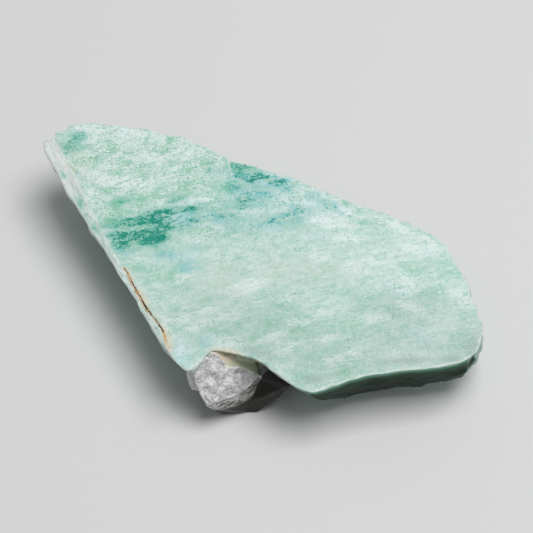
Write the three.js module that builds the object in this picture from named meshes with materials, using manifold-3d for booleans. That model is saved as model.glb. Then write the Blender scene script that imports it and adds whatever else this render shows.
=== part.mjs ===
// Rough amazonite: a cleaved slab of blue-green feldspar, with a lump of grey quartz grown on its front edge.
// Millimetres. +X runs along the slab, +Y towards its straight back edge and +Z up. The origin is on the
// ground, under the middle of the specimen.

import * as THREE from 'three';
import { ConvexGeometry } from 'three/addons/geometries/ConvexGeometry.js';
import { mergeVertices } from 'three/addons/utils/BufferGeometryUtils.js';
import Module from 'manifold-3d';

const wasm = await Module();
wasm.setup();

// ---- Driving dimensions ------------------------------------------------------------------------------

const TOP_HEIGHT = 18.1;                            // the broad cleavage face, above the origin
const TOP_FALL = 0.035;                             // its fall for each millimetre towards +X
const GRAIN = THREE.MathUtils.degToRad(44);         // the white lamellae run this way, from +X
const WAVE = 0.35;                                  // height of the low waves along the grain
const LAYER_RISE = 0.9;                             // the left lobe keeps one more cleavage layer
const LAYER_SLOPE = 0.09;                           // that layer thins out to nothing like this
const LAYER_END = 3.7;                              // and stops here along the grain, in a step
const LAYER_FADE = 21.3;                            // where it starts, across the grain
const LEDGE_DROP = 0.3;                             // the strip along the left edge lies this much lower
const RIM_STEP = 2.4;                               // longest straight piece of the broken rim
const RIM_BREAK = 0.25;                             // how far the break wanders off a straight line
const FOOT = { centre: [3, 3.5], long: 21, wide: 10.5 };  // half sizes of the flat spot it rests on
const UNDERSIDE_RISE = 6;                           // height of the underside twice as far out as the foot
const UNDERSIDE_FALL = 0.025;                       // and how much less that is for each mm towards +X
const STAIR = 1.7;                                  // one step of the cleaved underside
const BLOCK = { along: 11, across: 5.5 };           // the blocks that it steps in, along the grain and across
const BLOCK_SLOPE = 0.45;                           // how much of the way between two steps a block slopes
const SEAM = 0.3;                                   // between the two minerals

// The rim in plan, against the clock from the left tip. Each stretch has its corners, how many degrees its
// wall leans in under the rim, at its two ends, and how deep the wall's hackly hollows are.
const RIM = [
  { stretch: 'left edge', undercut: [22, 27], hackle: 0.7, corners: [
    [-57.9, 4.5], [-56.4, 2.6], [-49.6, -1.6], [-44.9, -4.8], [-38.9, -7.8], [-30.8, -12.5],
    [-22.8, -17], [-15.1, -21.4], [-7.3, -26.1], [-2.5, -28.6], [1.9, -30.5]] },
  { stretch: 'front corner', undercut: [27, 30], hackle: 0.4, corners: [
    [3.8, -31], [5, -30.8], [5.9, -28.6], [6.5, -24.9], [7.8, -23.1]] },
  { stretch: 'front bay', undercut: [32, 30], hackle: 0.4, corners: [
    [10.2, -21.9], [15.2, -20.7], [18.1, -20.4], [22.7, -21.1], [26, -21.5]] },
  { stretch: 'lobe', undercut: [28, 13], hackle: 0.4, corners: [
    [29.2, -21.7], [31.6, -21], [33.5, -18.9], [35.4, -16.5], [37.3, -13.5], [39.4, -11]] },
  { stretch: 'front right', undercut: [13, 9], hackle: 0.35, corners: [
    [43.5, -7.5], [48.8, -3.2], [52.6, 0.1]] },
  { stretch: 'right end', undercut: [9, 3], hackle: 0.6, corners: [
    [55.1, 2.5], [57, 5.2], [57.4, 7.7], [56.3, 12.9], [54.9, 15.5], [52.7, 17.6], [51.2, 19.2],
    [49.3, 20.3], [48.3, 22.2], [46.5, 23.7], [43.7, 25.5], [40.4, 27.7], [37.6, 29.6]] },
  { stretch: 'back edge', undercut: [3, 6], hackle: 1.0, corners: [
    [33.7, 30.9], [31.5, 31.1], [27.7, 30.7], [18.8, 29.9], [13.6, 29], [11.2, 29], [8, 28.4],
    [6.3, 28.5], [5.5, 28], [2.7, 28], [-4.6, 27.4], [-10.9, 26], [-16.1, 24.3]] },
  { stretch: 'left lobe back', undercut: [6, 10], hackle: 1.0, corners: [
    [-17.9, 23.6], [-19.7, 23.8], [-24.5, 23.9], [-30.2, 23.5], [-32.9, 22.4], [-37.8, 21.2],
    [-43.9, 18.7], [-48.6, 16.2], [-51.2, 15.3], [-54.1, 12.9]] },
  { stretch: 'left tip', undercut: [12, 20], hackle: 0.6, corners: [
    [-55.2, 11.3], [-55.2, 10], [-56.8, 8.2], [-56.9, 6.6]] },
];

// The rim's walls are drawn in towards this line, so that no two of their edges cross.
const SPINE = [new THREE.Vector2(-36, 5), new THREE.Vector2(36, 9)];

// The inner side of the lower strip along the left edge, and the way out from it, clear of the stone.
const LEDGE_INNER = [[-60.6, 9], [-57.4, 7.2], [-54.2, 5.4], [-50.6, 3], [-44, -1.2], [-37.8, -5.5],
  [-31.4, -9.6], [-24, -14.4], [-19.8, -16.6], [-14.7, -19.8], [-10, -22.5], [-4.5, -26], [-1, -28.4]];
const LEDGE_OUT = [-4, -6.9];

// Corners of the quartz: the lump itself, with its bright upper face, the small plate grown on its left,
// the darker part that runs on under the slab towards +X, and the hollow between that face and the slab.
const LUMP = [
  [5, -29, 15], [5, -28.6, 15.7], [5.9, -25.4, 17], [6.9, -23.9, 17.3], [8, -23.3, 17],
  [6.6, -30.3, 12.9], [8, -30.9, 11], [10.4, -31.7, 8], [8.9, -29.8, 6], [13.7, -27.1, 8.2],
  [15.6, -23.6, 8.4], [17, -19.2, 9.6], [10.2, -28.9, 2.5], [11.6, -27.5, 0], [14.2, -25.9, 0],
  [15.4, -24.5, 2.5], [16.4, -24.3, 0], [8, -19, 15], [14, -17, 12], [9, -18, 3], [12, -18, 0]];
const PLATE = [
  [3.9, -29.6, 15], [4.1, -29.8, 11], [5.5, -30.4, 9.6], [7.2, -30.2, 10],
  [5.6, -28.4, 14.8], [7.2, -28.9, 12.5], [5.5, -28, 14.8], [5.8, -28.3, 11], [7.5, -28.6, 9.8]];
const TAIL = [
  [16.8, -19, 9.4], [15.3, -24.2, 2.5], [16.4, -24.3, 0], [18.2, -23.2, 0], [20.5, -20.4, 2],
  [22.3, -18.6, 5], [23.9, -18.2, 9.5], [24.5, -15, 10], [22, -14, 3], [20, -16, 0],
  [13, -15, 0], [14, -16, 11], [21, -13, 11]];
const HOLLOW = [
  [7.3, -24.4, 17.5], [10, -23.7, 14.8], [12.7, -22.1, 12.9], [14.8, -20.8, 11.6], [17.3, -19.5, 9.9],
  [9.6, -19, 16.8], [11.5, -18.5, 14.9], [14.5, -17.5, 12.9], [16.5, -16.5, 11.8], [19.5, -16, 10.2],
  [9, -27, 20], [20, -21, 20], [18, -15, 20], [9.6, -19, 20]];

// Shell-shaped chips broken out of the rim: the place in plan, the radius of the shell, and how deep it
// bites in.
const CHIPS = [[53.6, 1, 4, 0.6], [56.8, 4.8, 3.5, 0.6], [57, 10.2, 4, 0.4], [50.4, 19.8, 4, 0.4],
  [42, 26.6, 5, 0.35], [24, 30.4, 5, 0.35], [-27, 23.8, 4, 0.3], [35.3, -16.6, 3, 0.3],
  [-35.5, -9.9, 3.5, 0.4], [-12, -23.3, 3, 0.35]];

// Bevels along the back edge: both ends in plan, the width and the drop.
const BEVELS = [
  { from: [-10.9, 26], to: [-4.6, 27.4], width: 1.2, drop: 1 },
  { from: [6.3, 28.5], to: [13.6, 29], width: 1.1, drop: 0.9 },
];

// ---- Helpers -----------------------------------------------------------------------------------------

// A repeatable number from 0 to 1 for each point of a square lattice.
function lattice(i, j) {
  const s = Math.sin(i * 127.1 + j * 311.7) * 43758.5453;
  return s - Math.floor(s);
}

// Smooth noise from -1 to 1 over the plane, with one hump for each unit.
function noise(x, y) {
  const i = Math.floor(x);
  const j = Math.floor(y);
  const u = THREE.MathUtils.smoothstep(x - i, 0, 1);
  const v = THREE.MathUtils.smoothstep(y - j, 0, 1);
  const near = THREE.MathUtils.lerp(lattice(i, j), lattice(i + 1, j), u);
  const far = THREE.MathUtils.lerp(lattice(i, j + 1), lattice(i + 1, j + 1), u);
  return 2 * THREE.MathUtils.lerp(near, far, v) - 1;
}

// A closed geometry as a solid that can be cut and joined.
function solid(geometry) {
  const plain = geometry.clone();
  plain.deleteAttribute('normal');
  plain.deleteAttribute('uv');
  const merged = mergeVertices(plain, 1e-4);
  return new wasm.Manifold(new wasm.Mesh({
    numProp: 3,
    vertProperties: new Float32Array(merged.attributes.position.array),
    triVerts: new Uint32Array(merged.index.array),
  }));
}

// The named mesh of a finished solid, in one colour.
function meshOf(body, name, material) {
  const { vertProperties, triVerts } = body.getMesh();
  const geometry = new THREE.BufferGeometry();
  geometry.setAttribute('position', new THREE.BufferAttribute(vertProperties, 3));
  geometry.setIndex(new THREE.BufferAttribute(triVerts, 1));
  geometry.computeVertexNormals();
  const mesh = new THREE.Mesh(geometry, material);
  mesh.name = name;
  return mesh;
}

// The convex solid round a list of corners.
function hull(corners) {
  return solid(new ConvexGeometry(corners.map((corner) => new THREE.Vector3(...corner))));
}

// The same solid, larger by a margin all round.
function grownHull(corners, margin) {
  const ball = new THREE.IcosahedronGeometry(margin * 1.15, 0).attributes.position;
  const points = [];
  for (const corner of corners) {
    for (let i = 0; i < ball.count; i += 1) {
      points.push(new THREE.Vector3().fromBufferAttribute(ball, i).add(new THREE.Vector3(...corner)));
    }
  }
  return solid(new ConvexGeometry(points));
}

// A solid skinned over closed rings of equally many points, from the highest ring down.
function loft(rings) {
  const count = rings[0].length;
  const indices = [];
  for (let r = 0; r < rings.length - 1; r += 1) {
    for (let i = 0; i < count; i += 1) {
      const a = r * count + i;
      const b = r * count + (i + 1) % count;
      indices.push(a, a + count, b, b, a + count, b + count);
    }
  }
  const last = (rings.length - 1) * count;
  const flat = (ring) => ring.map((p) => new THREE.Vector2(p.x, p.y));
  for (const [a, b, c] of THREE.ShapeUtils.triangulateShape(flat(rings[0]), [])) {
    indices.push(a, b, c);
  }
  for (const [a, b, c] of THREE.ShapeUtils.triangulateShape(flat(rings.at(-1)), [])) {
    indices.push(last + a, last + c, last + b);
  }
  const geometry = new THREE.BufferGeometry().setFromPoints(rings.flat());
  geometry.setIndex(indices);
  return solid(geometry);
}

// ---- The cleaved faces -------------------------------------------------------------------------------

// The two cleavages cross square to each other: u runs along the grain and v across it.
function fromGrain(u, v) {
  return [u * Math.cos(GRAIN) - v * Math.sin(GRAIN), u * Math.sin(GRAIN) + v * Math.cos(GRAIN)];
}

function toGrain(x, y) {
  return [x * Math.cos(GRAIN) + y * Math.sin(GRAIN), y * Math.cos(GRAIN) - x * Math.sin(GRAIN)];
}

// The plane of the main cleavage.
function cleavage(x) {
  return TOP_HEIGHT - TOP_FALL * x;
}

// The left lobe's extra layer: how thick it is there.
function lobeLayer(u, v) {
  return u < LAYER_END ? THREE.MathUtils.clamp(LAYER_SLOPE * (v - LAYER_FADE), 0, LAYER_RISE) : 0;
}

// The top face: low waves, long along the grain and short across it, and the lobe's layer on them.
function topFace(u, v) {
  const [x] = fromGrain(u, v);
  const wave = WAVE * (0.6 * noise(u / 26, v / 9) + 0.4 * noise(u / 11 + 7, v / 4));
  return cleavage(x) + wave + lobeLayer(u, v);
}

// Everything above the top face, as a block whose grid lies along the grain. The two grid lines nearest
// the layer's end are drawn together there, so that its step is sharp.
function aboveTheTop() {
  const side = 136;
  const pitch = 4;
  const geometry = new THREE.BoxGeometry(side, side, 10, side / pitch, 76, 1);
  const points = geometry.attributes.position;
  for (let i = 0; i < points.count; i += 1) {
    const beyond = points.getX(i) - LAYER_END;
    if (Math.abs(beyond) < pitch) {
      points.setX(i, LAYER_END + 0.1 * Math.sign(beyond));
    }
    const isLower = points.getZ(i) < 0;
    points.setZ(i, isLower ? topFace(points.getX(i), points.getY(i)) : TOP_HEIGHT + 10);
  }
  return solid(geometry.rotateZ(GRAIN));
}

// Grid lines for blocks of about one size, some half of it and some half as large again: each block keeps
// its own flat, and a narrow riser parts it from the next.
function blockLines(size, side, seed) {
  const riser = 0.15;
  const lines = [-side / 2];
  let place = -side / 2 + size;
  while (place < side / 2 - size) {
    lines.push(place - riser, place + riser);
    place += size * (0.5 + lattice(lines.length, seed));
  }
  lines.push(side / 2);
  return lines;
}

// The height of the underside before it breaks into steps: none over the foot, more towards the rim.
function bowl(x, y) {
  const [footX, footY] = FOOT.centre;
  const reach = Math.hypot((x - footX) / FOOT.long, (y - footY) / FOOT.wide) - 1;
  return (UNDERSIDE_RISE - UNDERSIDE_FALL * x) * reach;
}

// Everything under the stepped underside. Where the foot is, it stays below the ground and cuts nothing.
function underTheSteps() {
  const side = 140;
  const us = blockLines(BLOCK.along, side, 3);
  const vs = blockLines(BLOCK.across, side, 8);
  const geometry = new THREE.BoxGeometry(us.length - 1, vs.length - 1, 2, us.length - 1, vs.length - 1, 1);
  const points = geometry.attributes.position;
  const middle = (lines, k) => 0.5 * (lines[k - k % 2] + lines[k - k % 2 + 1]);
  for (let i = 0; i < points.count; i += 1) {
    const k = Math.round(points.getX(i) + (us.length - 1) / 2);
    const m = Math.round(points.getY(i) + (vs.length - 1) / 2);
    const [x, y] = fromGrain(middle(us, k), middle(vs, m));
    const whole = bowl(x, y) + STAIR * 0.6 * noise(x / 7, y / 7);
    const slope = BLOCK_SLOPE * (bowl(...fromGrain(us[k], vs[m])) - bowl(x, y));
    const stairs = Math.floor(whole / STAIR + 0.6);
    const height = stairs > 0 ? Math.max(0.4, stairs * STAIR + slope) : -1;
    points.setXYZ(i, us[k], vs[m], points.getZ(i) > 0 ? height : -10);
  }
  return solid(geometry.rotateZ(GRAIN));
}

// ---- The slab ----------------------------------------------------------------------------------------

// Points round the rim, close together, each with its wall's undercut and hackle, and the way in.
function rimStations() {
  const stations = [];
  RIM.forEach(({ undercut, hackle, corners }, index) => {
    const next = RIM[(index + 1) % RIM.length].corners[0];
    const path = [...corners, next].map(([x, y]) => new THREE.Vector2(x, y));
    path.slice(1).forEach((end, i) => {
      const start = path[i];
      const outward = end.clone().sub(start).rotateAround(new THREE.Vector2(), -Math.PI / 2).normalize();
      const pieces = Math.ceil(start.distanceTo(end) / RIM_STEP);
      for (let k = 0; k < pieces; k += 1) {
        const rim = start.clone().lerp(end, k / pieces);
        if (k > 0) {
          rim.addScaledVector(outward, RIM_BREAK * noise(rim.x / 2, rim.y / 2));
        }
        const share = (i + k / pieces) / (path.length - 1);
        const degrees = THREE.MathUtils.lerp(undercut[0], undercut[1], share);
        const lean = Math.tan(THREE.MathUtils.degToRad(degrees));
        stations.push({ rim, lean, hackle, inward: wayIn(rim) });
      }
    });
  });
  return stations;
}

// The direction from a point of the rim to the nearest point of the spine.
function wayIn(rim) {
  const spine = new THREE.Line3(...SPINE.map(({ x, y }) => new THREE.Vector3(x, y, 0)));
  const nearest = spine.closestPointToPoint(new THREE.Vector3(rim.x, rim.y, 0), true, new THREE.Vector3());
  return new THREE.Vector2(nearest.x, nearest.y).sub(rim).normalize();
}

// The block that the slab is cleaved from: its walls lean in under the rim, with shallow hackly hollows.
function slabBlank() {
  const stations = rimStations();
  const ring = (depth, roughness) => stations.map(({ rim, lean, hackle, inward }) => {
    const rough = noise(rim.x / 5 + depth, rim.y / 5) + 0.4 * noise(rim.x / 2, rim.y / 2 - depth);
    const plan = rim.clone().addScaledVector(inward, Math.max(0, lean * depth + roughness * hackle * rough));
    return new THREE.Vector3(plan.x, plan.y, cleavage(rim.x) - depth);
  });
  const down = (depth) => ring(depth, 1);
  const ground = down(TOP_HEIGHT + 1).map((point) => point.setZ(0));
  return loft([ring(-6, 0), ring(0, 0), down(1.6), down(3.6), down(6), down(9), ground]);
}

// A shell-shaped bite out of the rim, from a ball that stands mostly outside and above it.
function chip([x, y, radius, bite]) {
  const outward = wayIn(new THREE.Vector2(x, y)).negate();
  const slope = THREE.MathUtils.degToRad(35);
  const reach = radius - bite;
  const centre = [x + outward.x * reach * Math.cos(slope), y + outward.y * reach * Math.cos(slope)];
  const geometry = new THREE.IcosahedronGeometry(radius, 3);
  return solid(geometry.translate(...centre, cleavage(x) + reach * Math.sin(slope)));
}

// A wedge that bevels a stretch of the rim.
function bevel({ from, to, width, drop }) {
  const corners = [];
  for (const [x, y] of [from, to]) {
    const inward = wayIn(new THREE.Vector2(x, y));
    const height = cleavage(x);
    corners.push([x + inward.x * width, y + inward.y * width, height + WAVE]);
    corners.push([x - inward.x, y - inward.y, height + 2]);
    corners.push([x - inward.x * 0.6, y - inward.y * 0.6, height - drop]);
  }
  return hull(corners);
}

// Everything above the lower strip along the left edge, which rises with the lobe's layer.
function aboveTheLedge() {
  const section = ([x, y]) => {
    const low = cleavage(x) + lobeLayer(...toGrain(x, y)) - LEDGE_DROP;
    const [outX, outY] = LEDGE_OUT;
    return [low, low + 8].flatMap((z) => [[x, y, z], [x + outX, y + outY, z - TOP_FALL * outX]]);
  };
  const stretches = LEDGE_INNER.slice(1).map((end, i) => hull([...section(LEDGE_INNER[i]), ...section(end)]));
  return wasm.Manifold.union(stretches);
}

function amazoniteSlab() {
  let slab = slabBlank().subtract(aboveTheTop()).subtract(underTheSteps()).subtract(aboveTheLedge());
  for (const cut of [...CHIPS.map(chip), ...BEVELS.map(bevel)]) {
    slab = slab.subtract(cut);
  }
  const lumpSocket = grownHull(LUMP, SEAM).subtract(hull(HOLLOW).translate([0, 0, SEAM * 1.5]));
  return slab.subtract(lumpSocket).subtract(grownHull(PLATE, SEAM)).subtract(grownHull(TAIL, SEAM));
}

// ---- The quartz --------------------------------------------------------------------------------------

function quartzLump() {
  return hull(LUMP).subtract(hull(HOLLOW)).add(hull(PLATE)).add(hull(TAIL));
}

// ---- The specimen ------------------------------------------------------------------------------------

const feldspar = new THREE.MeshStandardMaterial({ color: 0xb6d8cd, roughness: 0.5, metalness: 0 });
const quartz = new THREE.MeshStandardMaterial({ color: 0xa9aaa4, roughness: 0.35, metalness: 0 });

const specimen = new THREE.Group();
specimen.add(meshOf(amazoniteSlab(), 'amazonite_slab', feldspar));
specimen.add(meshOf(quartzLump(), 'quartz_lump', quartz));

export default specimen;
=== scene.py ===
# %% [markdown]
# # Rough amazonite with a lump of grey quartz
#
# Amazonite is a blue-green feldspar. This hand specimen is a slab that split along the mineral's best
# cleavage, so its top is one broad, nearly flat face, and its walls are rough breaks. White lamellae of
# albite run through the green in one direction, which is called the grain here. A lump of grey quartz has
# grown on the front edge.
#
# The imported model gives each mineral's solid at its real size. This script keeps those solids as they are,
# copies them, carves the small relief into the copies, and makes the two minerals' finishes.

import math

import bmesh
import bpy
import numpy as np
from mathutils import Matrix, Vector, noise
from mathutils.bvhtree import BVHTree


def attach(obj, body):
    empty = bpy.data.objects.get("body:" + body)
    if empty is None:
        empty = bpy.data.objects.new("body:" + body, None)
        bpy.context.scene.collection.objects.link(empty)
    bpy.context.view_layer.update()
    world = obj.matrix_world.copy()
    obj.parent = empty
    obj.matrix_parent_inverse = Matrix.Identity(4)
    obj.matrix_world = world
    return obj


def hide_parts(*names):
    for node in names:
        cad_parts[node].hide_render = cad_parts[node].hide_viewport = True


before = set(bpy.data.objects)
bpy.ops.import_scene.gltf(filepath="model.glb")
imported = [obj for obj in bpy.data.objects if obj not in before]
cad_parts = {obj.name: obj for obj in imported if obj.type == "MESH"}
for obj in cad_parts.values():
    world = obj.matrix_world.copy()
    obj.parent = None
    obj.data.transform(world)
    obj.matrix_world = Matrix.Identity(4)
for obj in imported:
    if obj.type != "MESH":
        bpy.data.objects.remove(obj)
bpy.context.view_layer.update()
MM = 0.001

# %% [markdown]
# ## The stone's own directions
#
# Everything in a feldspar follows its cleavages. The best one is the top face, which falls a little
# towards +X. The second stands square to it. Its direction in plan is also the grain's, so a turned pair
# of coordinates helps: u runs along the grain and v across it. Places are in millimetres, as a collector
# would measure them.

# %% Directions and heights
GRAIN = math.radians(44)
TOP_HEIGHT = 18.1
TOP_FALL = 0.035


def along_grain(x, y):
    """How far a point lies along the grain."""
    return x * math.cos(GRAIN) + y * math.sin(GRAIN)


def across_grain(x, y):
    """How far a point lies across the grain."""
    return y * math.cos(GRAIN) - x * math.sin(GRAIN)


print("the top is", TOP_HEIGHT, "mm high in the middle and falls", round(100 * TOP_FALL, 1), "in 100")

# %% [markdown]
# ## A finer copy of each solid
#
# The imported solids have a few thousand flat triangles, as long as they can be. Carving needs small, even
# ones. Subdividing would keep the long thin shapes, so the copy is remeshed instead: the Remesh modifier in
# voxel mode lays even squares over any closed shape. The copy's loose triangles are merged first, because
# the modifier needs to know which side is the inside.

# %% Copy and remesh a solid
MERGE_WITHIN = 0.01 * MM
SLAB_SQUARE = 0.43


def fine_copy(node, name, square):
    """A new piece with a node's shape, in even squares of the given size in millimetres."""
    shape = bmesh.new()
    shape.from_mesh(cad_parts[node].data)
    bmesh.ops.remove_doubles(shape, verts=shape.verts, dist=MERGE_WITHIN)
    coarse = bpy.data.meshes.new(name)
    shape.to_mesh(coarse)
    shape.free()
    piece = bpy.data.objects.new(name, coarse)
    bpy.context.scene.collection.objects.link(piece)
    squares = piece.modifiers.new("even squares", "REMESH")
    squares.mode = "VOXEL"
    squares.voxel_size = square * MM
    seen = piece.evaluated_get(bpy.context.evaluated_depsgraph_get())
    piece.data = bpy.data.meshes.new_from_object(seen)
    piece.data.name = name
    piece.modifiers.clear()
    bpy.data.meshes.remove(coarse)
    piece.data.shade_smooth()
    print(name, "has", len(piece.data.polygons), "squares")
    return piece


slab = fine_copy("amazonite_slab", "amazonite", SLAB_SQUARE)

# %% [markdown]
# ## Reading and moving a surface
#
# Carving moves each vertex inwards along its own normal by some depth. A sculpt brush would do that by
# hand. Here NumPy does it for all of them at once, so the surface is read into arrays, in millimetres.

# %% Read a surface, and carve it
def surface_of(piece):
    """The places of a piece's vertices and their normals, in millimetres."""
    mesh = piece.data
    places = np.empty(3 * len(mesh.vertices), np.float32)
    normals = np.empty(3 * len(mesh.vertices), np.float32)
    mesh.vertices.foreach_get("co", places)
    mesh.vertex_normals.foreach_get("vector", normals)
    return places.reshape(-1, 3).astype(float) / MM, normals.reshape(-1, 3).astype(float)


def carve(piece, depths):
    """Moves the surface inwards by a depth in millimetres for each vertex, and never below the ground."""
    places, normals = surface_of(piece)
    places = places - normals * depths[:, None]
    places[:, 2] = np.maximum(places[:, 2], 0)
    piece.data.vertices.foreach_set("co", (places * MM).astype(np.float32).ravel())
    piece.data.update()
    print(piece.name, "carved by up to", round(float(depths.max()), 2), "mm")


# %% [markdown]
# ## The cracks
#
# A narrow strip along the left edge lies a little lower than the face. The crack beside it is stained by
# iron, gold to dark brown, and it gapes in some stretches only. A few hairline cracks cross the face. They
# are all drawn as paths of corners in plan, and each vertex then needs its distance to a path.

# %% The paths, and the distance to one
EDGE_STRIP = [(-60.6, 9.0), (-57.4, 7.2), (-54.2, 5.4), (-50.6, 3.0), (-44.0, -1.2), (-37.8, -5.5),
              (-31.4, -9.6), (-24.0, -14.4), (-19.8, -16.6), (-14.7, -19.8), (-10.0, -22.5), (-4.5, -26.0),
              (-1.0, -28.4)]
STAINED_CRACK = [(-22.6, -15.0), (-20.6, -15.9), (-18.3, -17.7), (-16.2, -19.0), (-14.7, -19.9),
                 (-11.6, -21.9), (-8.4, -23.2), (-5.4, -24.7), (-3.4, -26.6), (-1.9, -28.2)]
HAIRLINES = [
    [(32.3, 14.9), (33.0, 13.4), (34.0, 11.9)],
    [(33.4, 10.0), (35.2, 8.7), (36.0, 7.3), (37.1, 5.3)],
    [(44.2, 5.4), (46.0, 4.2), (47.3, 3.0), (48.0, 2.2)],
    [(-45.8, -1.7), (-44.6, -2.6), (-43.0, -3.3)],
    [(-48.4, 2.2), (-47.3, 1.5), (-45.7, 0.7)],
    [(15.6, 9.3), (17.6, 8.4)],
]


def distance_to(path, x, y):
    """The distance in plan to a path of corners, positive on its left, and the share of the path passed."""
    best = np.full(len(x), 1e9)
    share = np.zeros(len(x))
    for i, ((ax, ay), (bx, by)) in enumerate(zip(path, path[1:])):
        run = np.array((bx - ax, by - ay))
        t = np.clip(((x - ax) * run[0] + (y - ay) * run[1]) / (run @ run), 0, 1)
        off_x, off_y = x - ax - t * run[0], y - ay - t * run[1]
        gap = np.hypot(off_x, off_y)
        nearer = gap < np.abs(best)
        share = np.where(nearer, (i + t) / (len(path) - 1), share)
        best = np.where(nearer, np.copysign(gap, run[0] * off_y - run[1] * off_x), best)
    return best, share


print(len(HAIRLINES), "hairline cracks and one stained crack")

# %% [markdown]
# ## Finer faces beside the cracks
#
# The cracks are narrower than the squares of the mesh. Smaller squares everywhere would make the piece too
# heavy, so only the faces that lie near a crack are subdivided.

# %% Subdivide near the paths
ABOVE_THE_WALLS = 14


def refine_beside(piece, paths, reach, cuts):
    """Subdivides the faces of the top that lie within reach of the paths."""
    shape = bmesh.new()
    shape.from_mesh(piece.data)
    places = np.array([vertex.co for vertex in shape.verts]) / MM
    near = np.min([np.abs(distance_to(path, places[:, 0], places[:, 1])[0]) for path in paths], axis=0)
    wanted = (near < reach) & (places[:, 2] > ABOVE_THE_WALLS)
    edges = [edge for edge in shape.edges if all(wanted[vertex.index] for vertex in edge.verts)]
    bmesh.ops.subdivide_edges(shape, edges=edges, cuts=cuts, use_grid_fill=True)
    shape.to_mesh(piece.data)
    shape.free()
    print(len(edges), "edges cut beside the cracks")


refine_beside(slab, [STAINED_CRACK], reach=0.9, cuts=3)
refine_beside(slab, HAIRLINES, reach=0.7, cuts=1)

# %% [markdown]
# ## Three kinds of surface
#
# The slab has a top, walls and an underside. Two walls are smoother than the others, because there the
# stone parted along its second cleavage: the left edge and the front right. A vertex's normal and its depth
# under the top say which kind it belongs to. Each kind is a share from 0 to 1 rather than a yes or no, so
# that one relief runs into the next without a seam.

# %% Which surface each vertex is on
LEFT_WALL_FACES = (-0.5, -0.85, 0)
FRONT_RIGHT_FACES = (0.6, -0.8, 0)


def rise(low, high, value):
    """0 below low, 1 above high and a smooth rise between them."""
    share = np.clip((value - low) / (high - low), 0, 1)
    return share * share * (3 - 2 * share)


def facing(normals, *direction):
    """How squarely the surface faces a direction: 1 where it does, 0 where it is side on."""
    return normals @ np.array(direction) / math.hypot(*direction)


places, normals = surface_of(slab)
x, y, z = places.T
u, v = along_grain(x, y), across_grain(x, y)
below = TOP_HEIGHT - TOP_FALL * x - z
strip_gap, _ = distance_to(EDGE_STRIP, x, y)
strip_step = (1 - rise(0.7, 1.3, np.abs(strip_gap))) * (1 - rise(0.7, 1.4, below))
is_top = np.maximum(rise(0.6, 0.9, normals[:, 2]) * (1 - rise(3, 5, below)), strip_step)
is_under = rise(0.45, 0.8, -normals[:, 2])
is_wall = np.clip(1 - is_top - is_under, 0, 1)
left_edge = rise(0.5, 0.8, facing(normals, *LEFT_WALL_FACES))
front_right = rise(0.6, 0.85, facing(normals, *FRONT_RIGHT_FACES)) * rise(26, 31, x)
parted = np.maximum(0.7 * left_edge, front_right)
print("top", int(is_top.sum()), "wall", int(is_wall.sum()), "under", int(is_under.sum()))

# %% [markdown]
# ## Relief of the top
#
# The cleavage face has thin terraces, where one layer more or less broke away, and low ridges along the
# grain. Blender's noise gives one number for a point, so a helper asks it for every vertex. A seed is the
# noise's third coordinate: each seed is another slice, with other humps. Rounding a noise to whole steps
# makes terraces, and dividing u and v by different lengths stretches the humps along the grain.

# %% Noise, and the relief of the top
TERRACE = 0.13
TERRACE_LONG, TERRACE_WIDE = 15, 6


def noise_over(a, b, seed=0):
    """Smooth noise from about -1 to 1 over two arrays of coordinates: its humps are one unit wide."""
    points = np.stack(np.broadcast_arrays(a, b, float(seed)), -1)
    return np.array([noise.noise(Vector(point)) for point in points])


def top_relief():
    """Thin terraces with ragged ends, and fine ridges along the grain, rougher in the left lobe."""
    level = 2.2 * noise_over(u / TERRACE_LONG, v / TERRACE_WIDE, seed=3)
    level += 0.45 * noise_over(u / 3.2, v / 1.2, seed=5)
    terraces = TERRACE * (np.round(level) + 2)
    ridges = 0.05 * noise_over(u / 6, v / 0.9, seed=8) + 0.05 * noise_over(u / 2, v / 1.6, seed=9)
    sugary_lobe = 0.1 * rise(6, 12, v) * noise_over(x / 1.1, y / 1.1, seed=10)
    return np.maximum(0, terraces + ridges + sugary_lobe)


top_depths = top_relief()
print("top relief, mm:", top_depths.min().round(2), "to", top_depths.max().round(2))

# %% [markdown]
# ## Relief of the walls and the underside
#
# The walls are hackly: small blocks broke away along both cleavages. A smooth noise can't give flat-sided
# blocks, so this uses Blender's cell noise, which is one random number for each unit cell. A little smooth
# noise is added to the coordinates first, so the cells' edges wander as real breaks do. The underside has
# the same blocks, larger and longer along the grain.

# %% Blocks on the walls and the underside
BLOCK_WIDE, BLOCK_HIGH = 2.7, 1.3
CHIP_WIDE, CHIP_HIGH = 1.1, 0.6
UNDER_BLOCK_LONG, UNDER_BLOCK_WIDE = 4.4, 2.1


def cells_over(a, b, c):
    """One random number from -1 to 1 for each unit cell of three coordinates."""
    return np.array([noise.cell(Vector(point)) for point in np.stack((a, b, c), -1)])


def wall_relief():
    """Small blocks that broke away along both cleavages, with rougher ground between them."""
    wander = 0.5 * noise_over(y / 3, z / 3)
    blocks = cells_over(x / BLOCK_WIDE + wander, y / BLOCK_WIDE + wander, below / BLOCK_HIGH + wander)
    chips = cells_over(x / CHIP_WIDE - wander, y / CHIP_WIDE, below / CHIP_HIGH + wander)
    rough = noise_over(y / 0.9, z / 0.9)
    depth = 0.42 * blocks + 0.16 * chips + 0.1 * rough - 0.2
    return depth * (1 - 0.75 * parted) * (0.35 + 0.65 * rise(0.3, 2, below)) - 0.1


def under_relief():
    """The same blocks seen from below, longer along the grain."""
    wander = 0.4 * noise_over(u / 3, v / 2, seed=21)
    one_layer = np.full(len(x), 31.0)
    blocks = cells_over(u / UNDER_BLOCK_LONG + wander, v / UNDER_BLOCK_WIDE + wander, one_layer)
    rough = noise_over(u / 1.6, v / 0.9, seed=22) + 0.6 * noise_over(x / 0.7, y / 0.7, seed=23)
    return 0.5 * blocks + 0.09 * (rough + 1.6)


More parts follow.
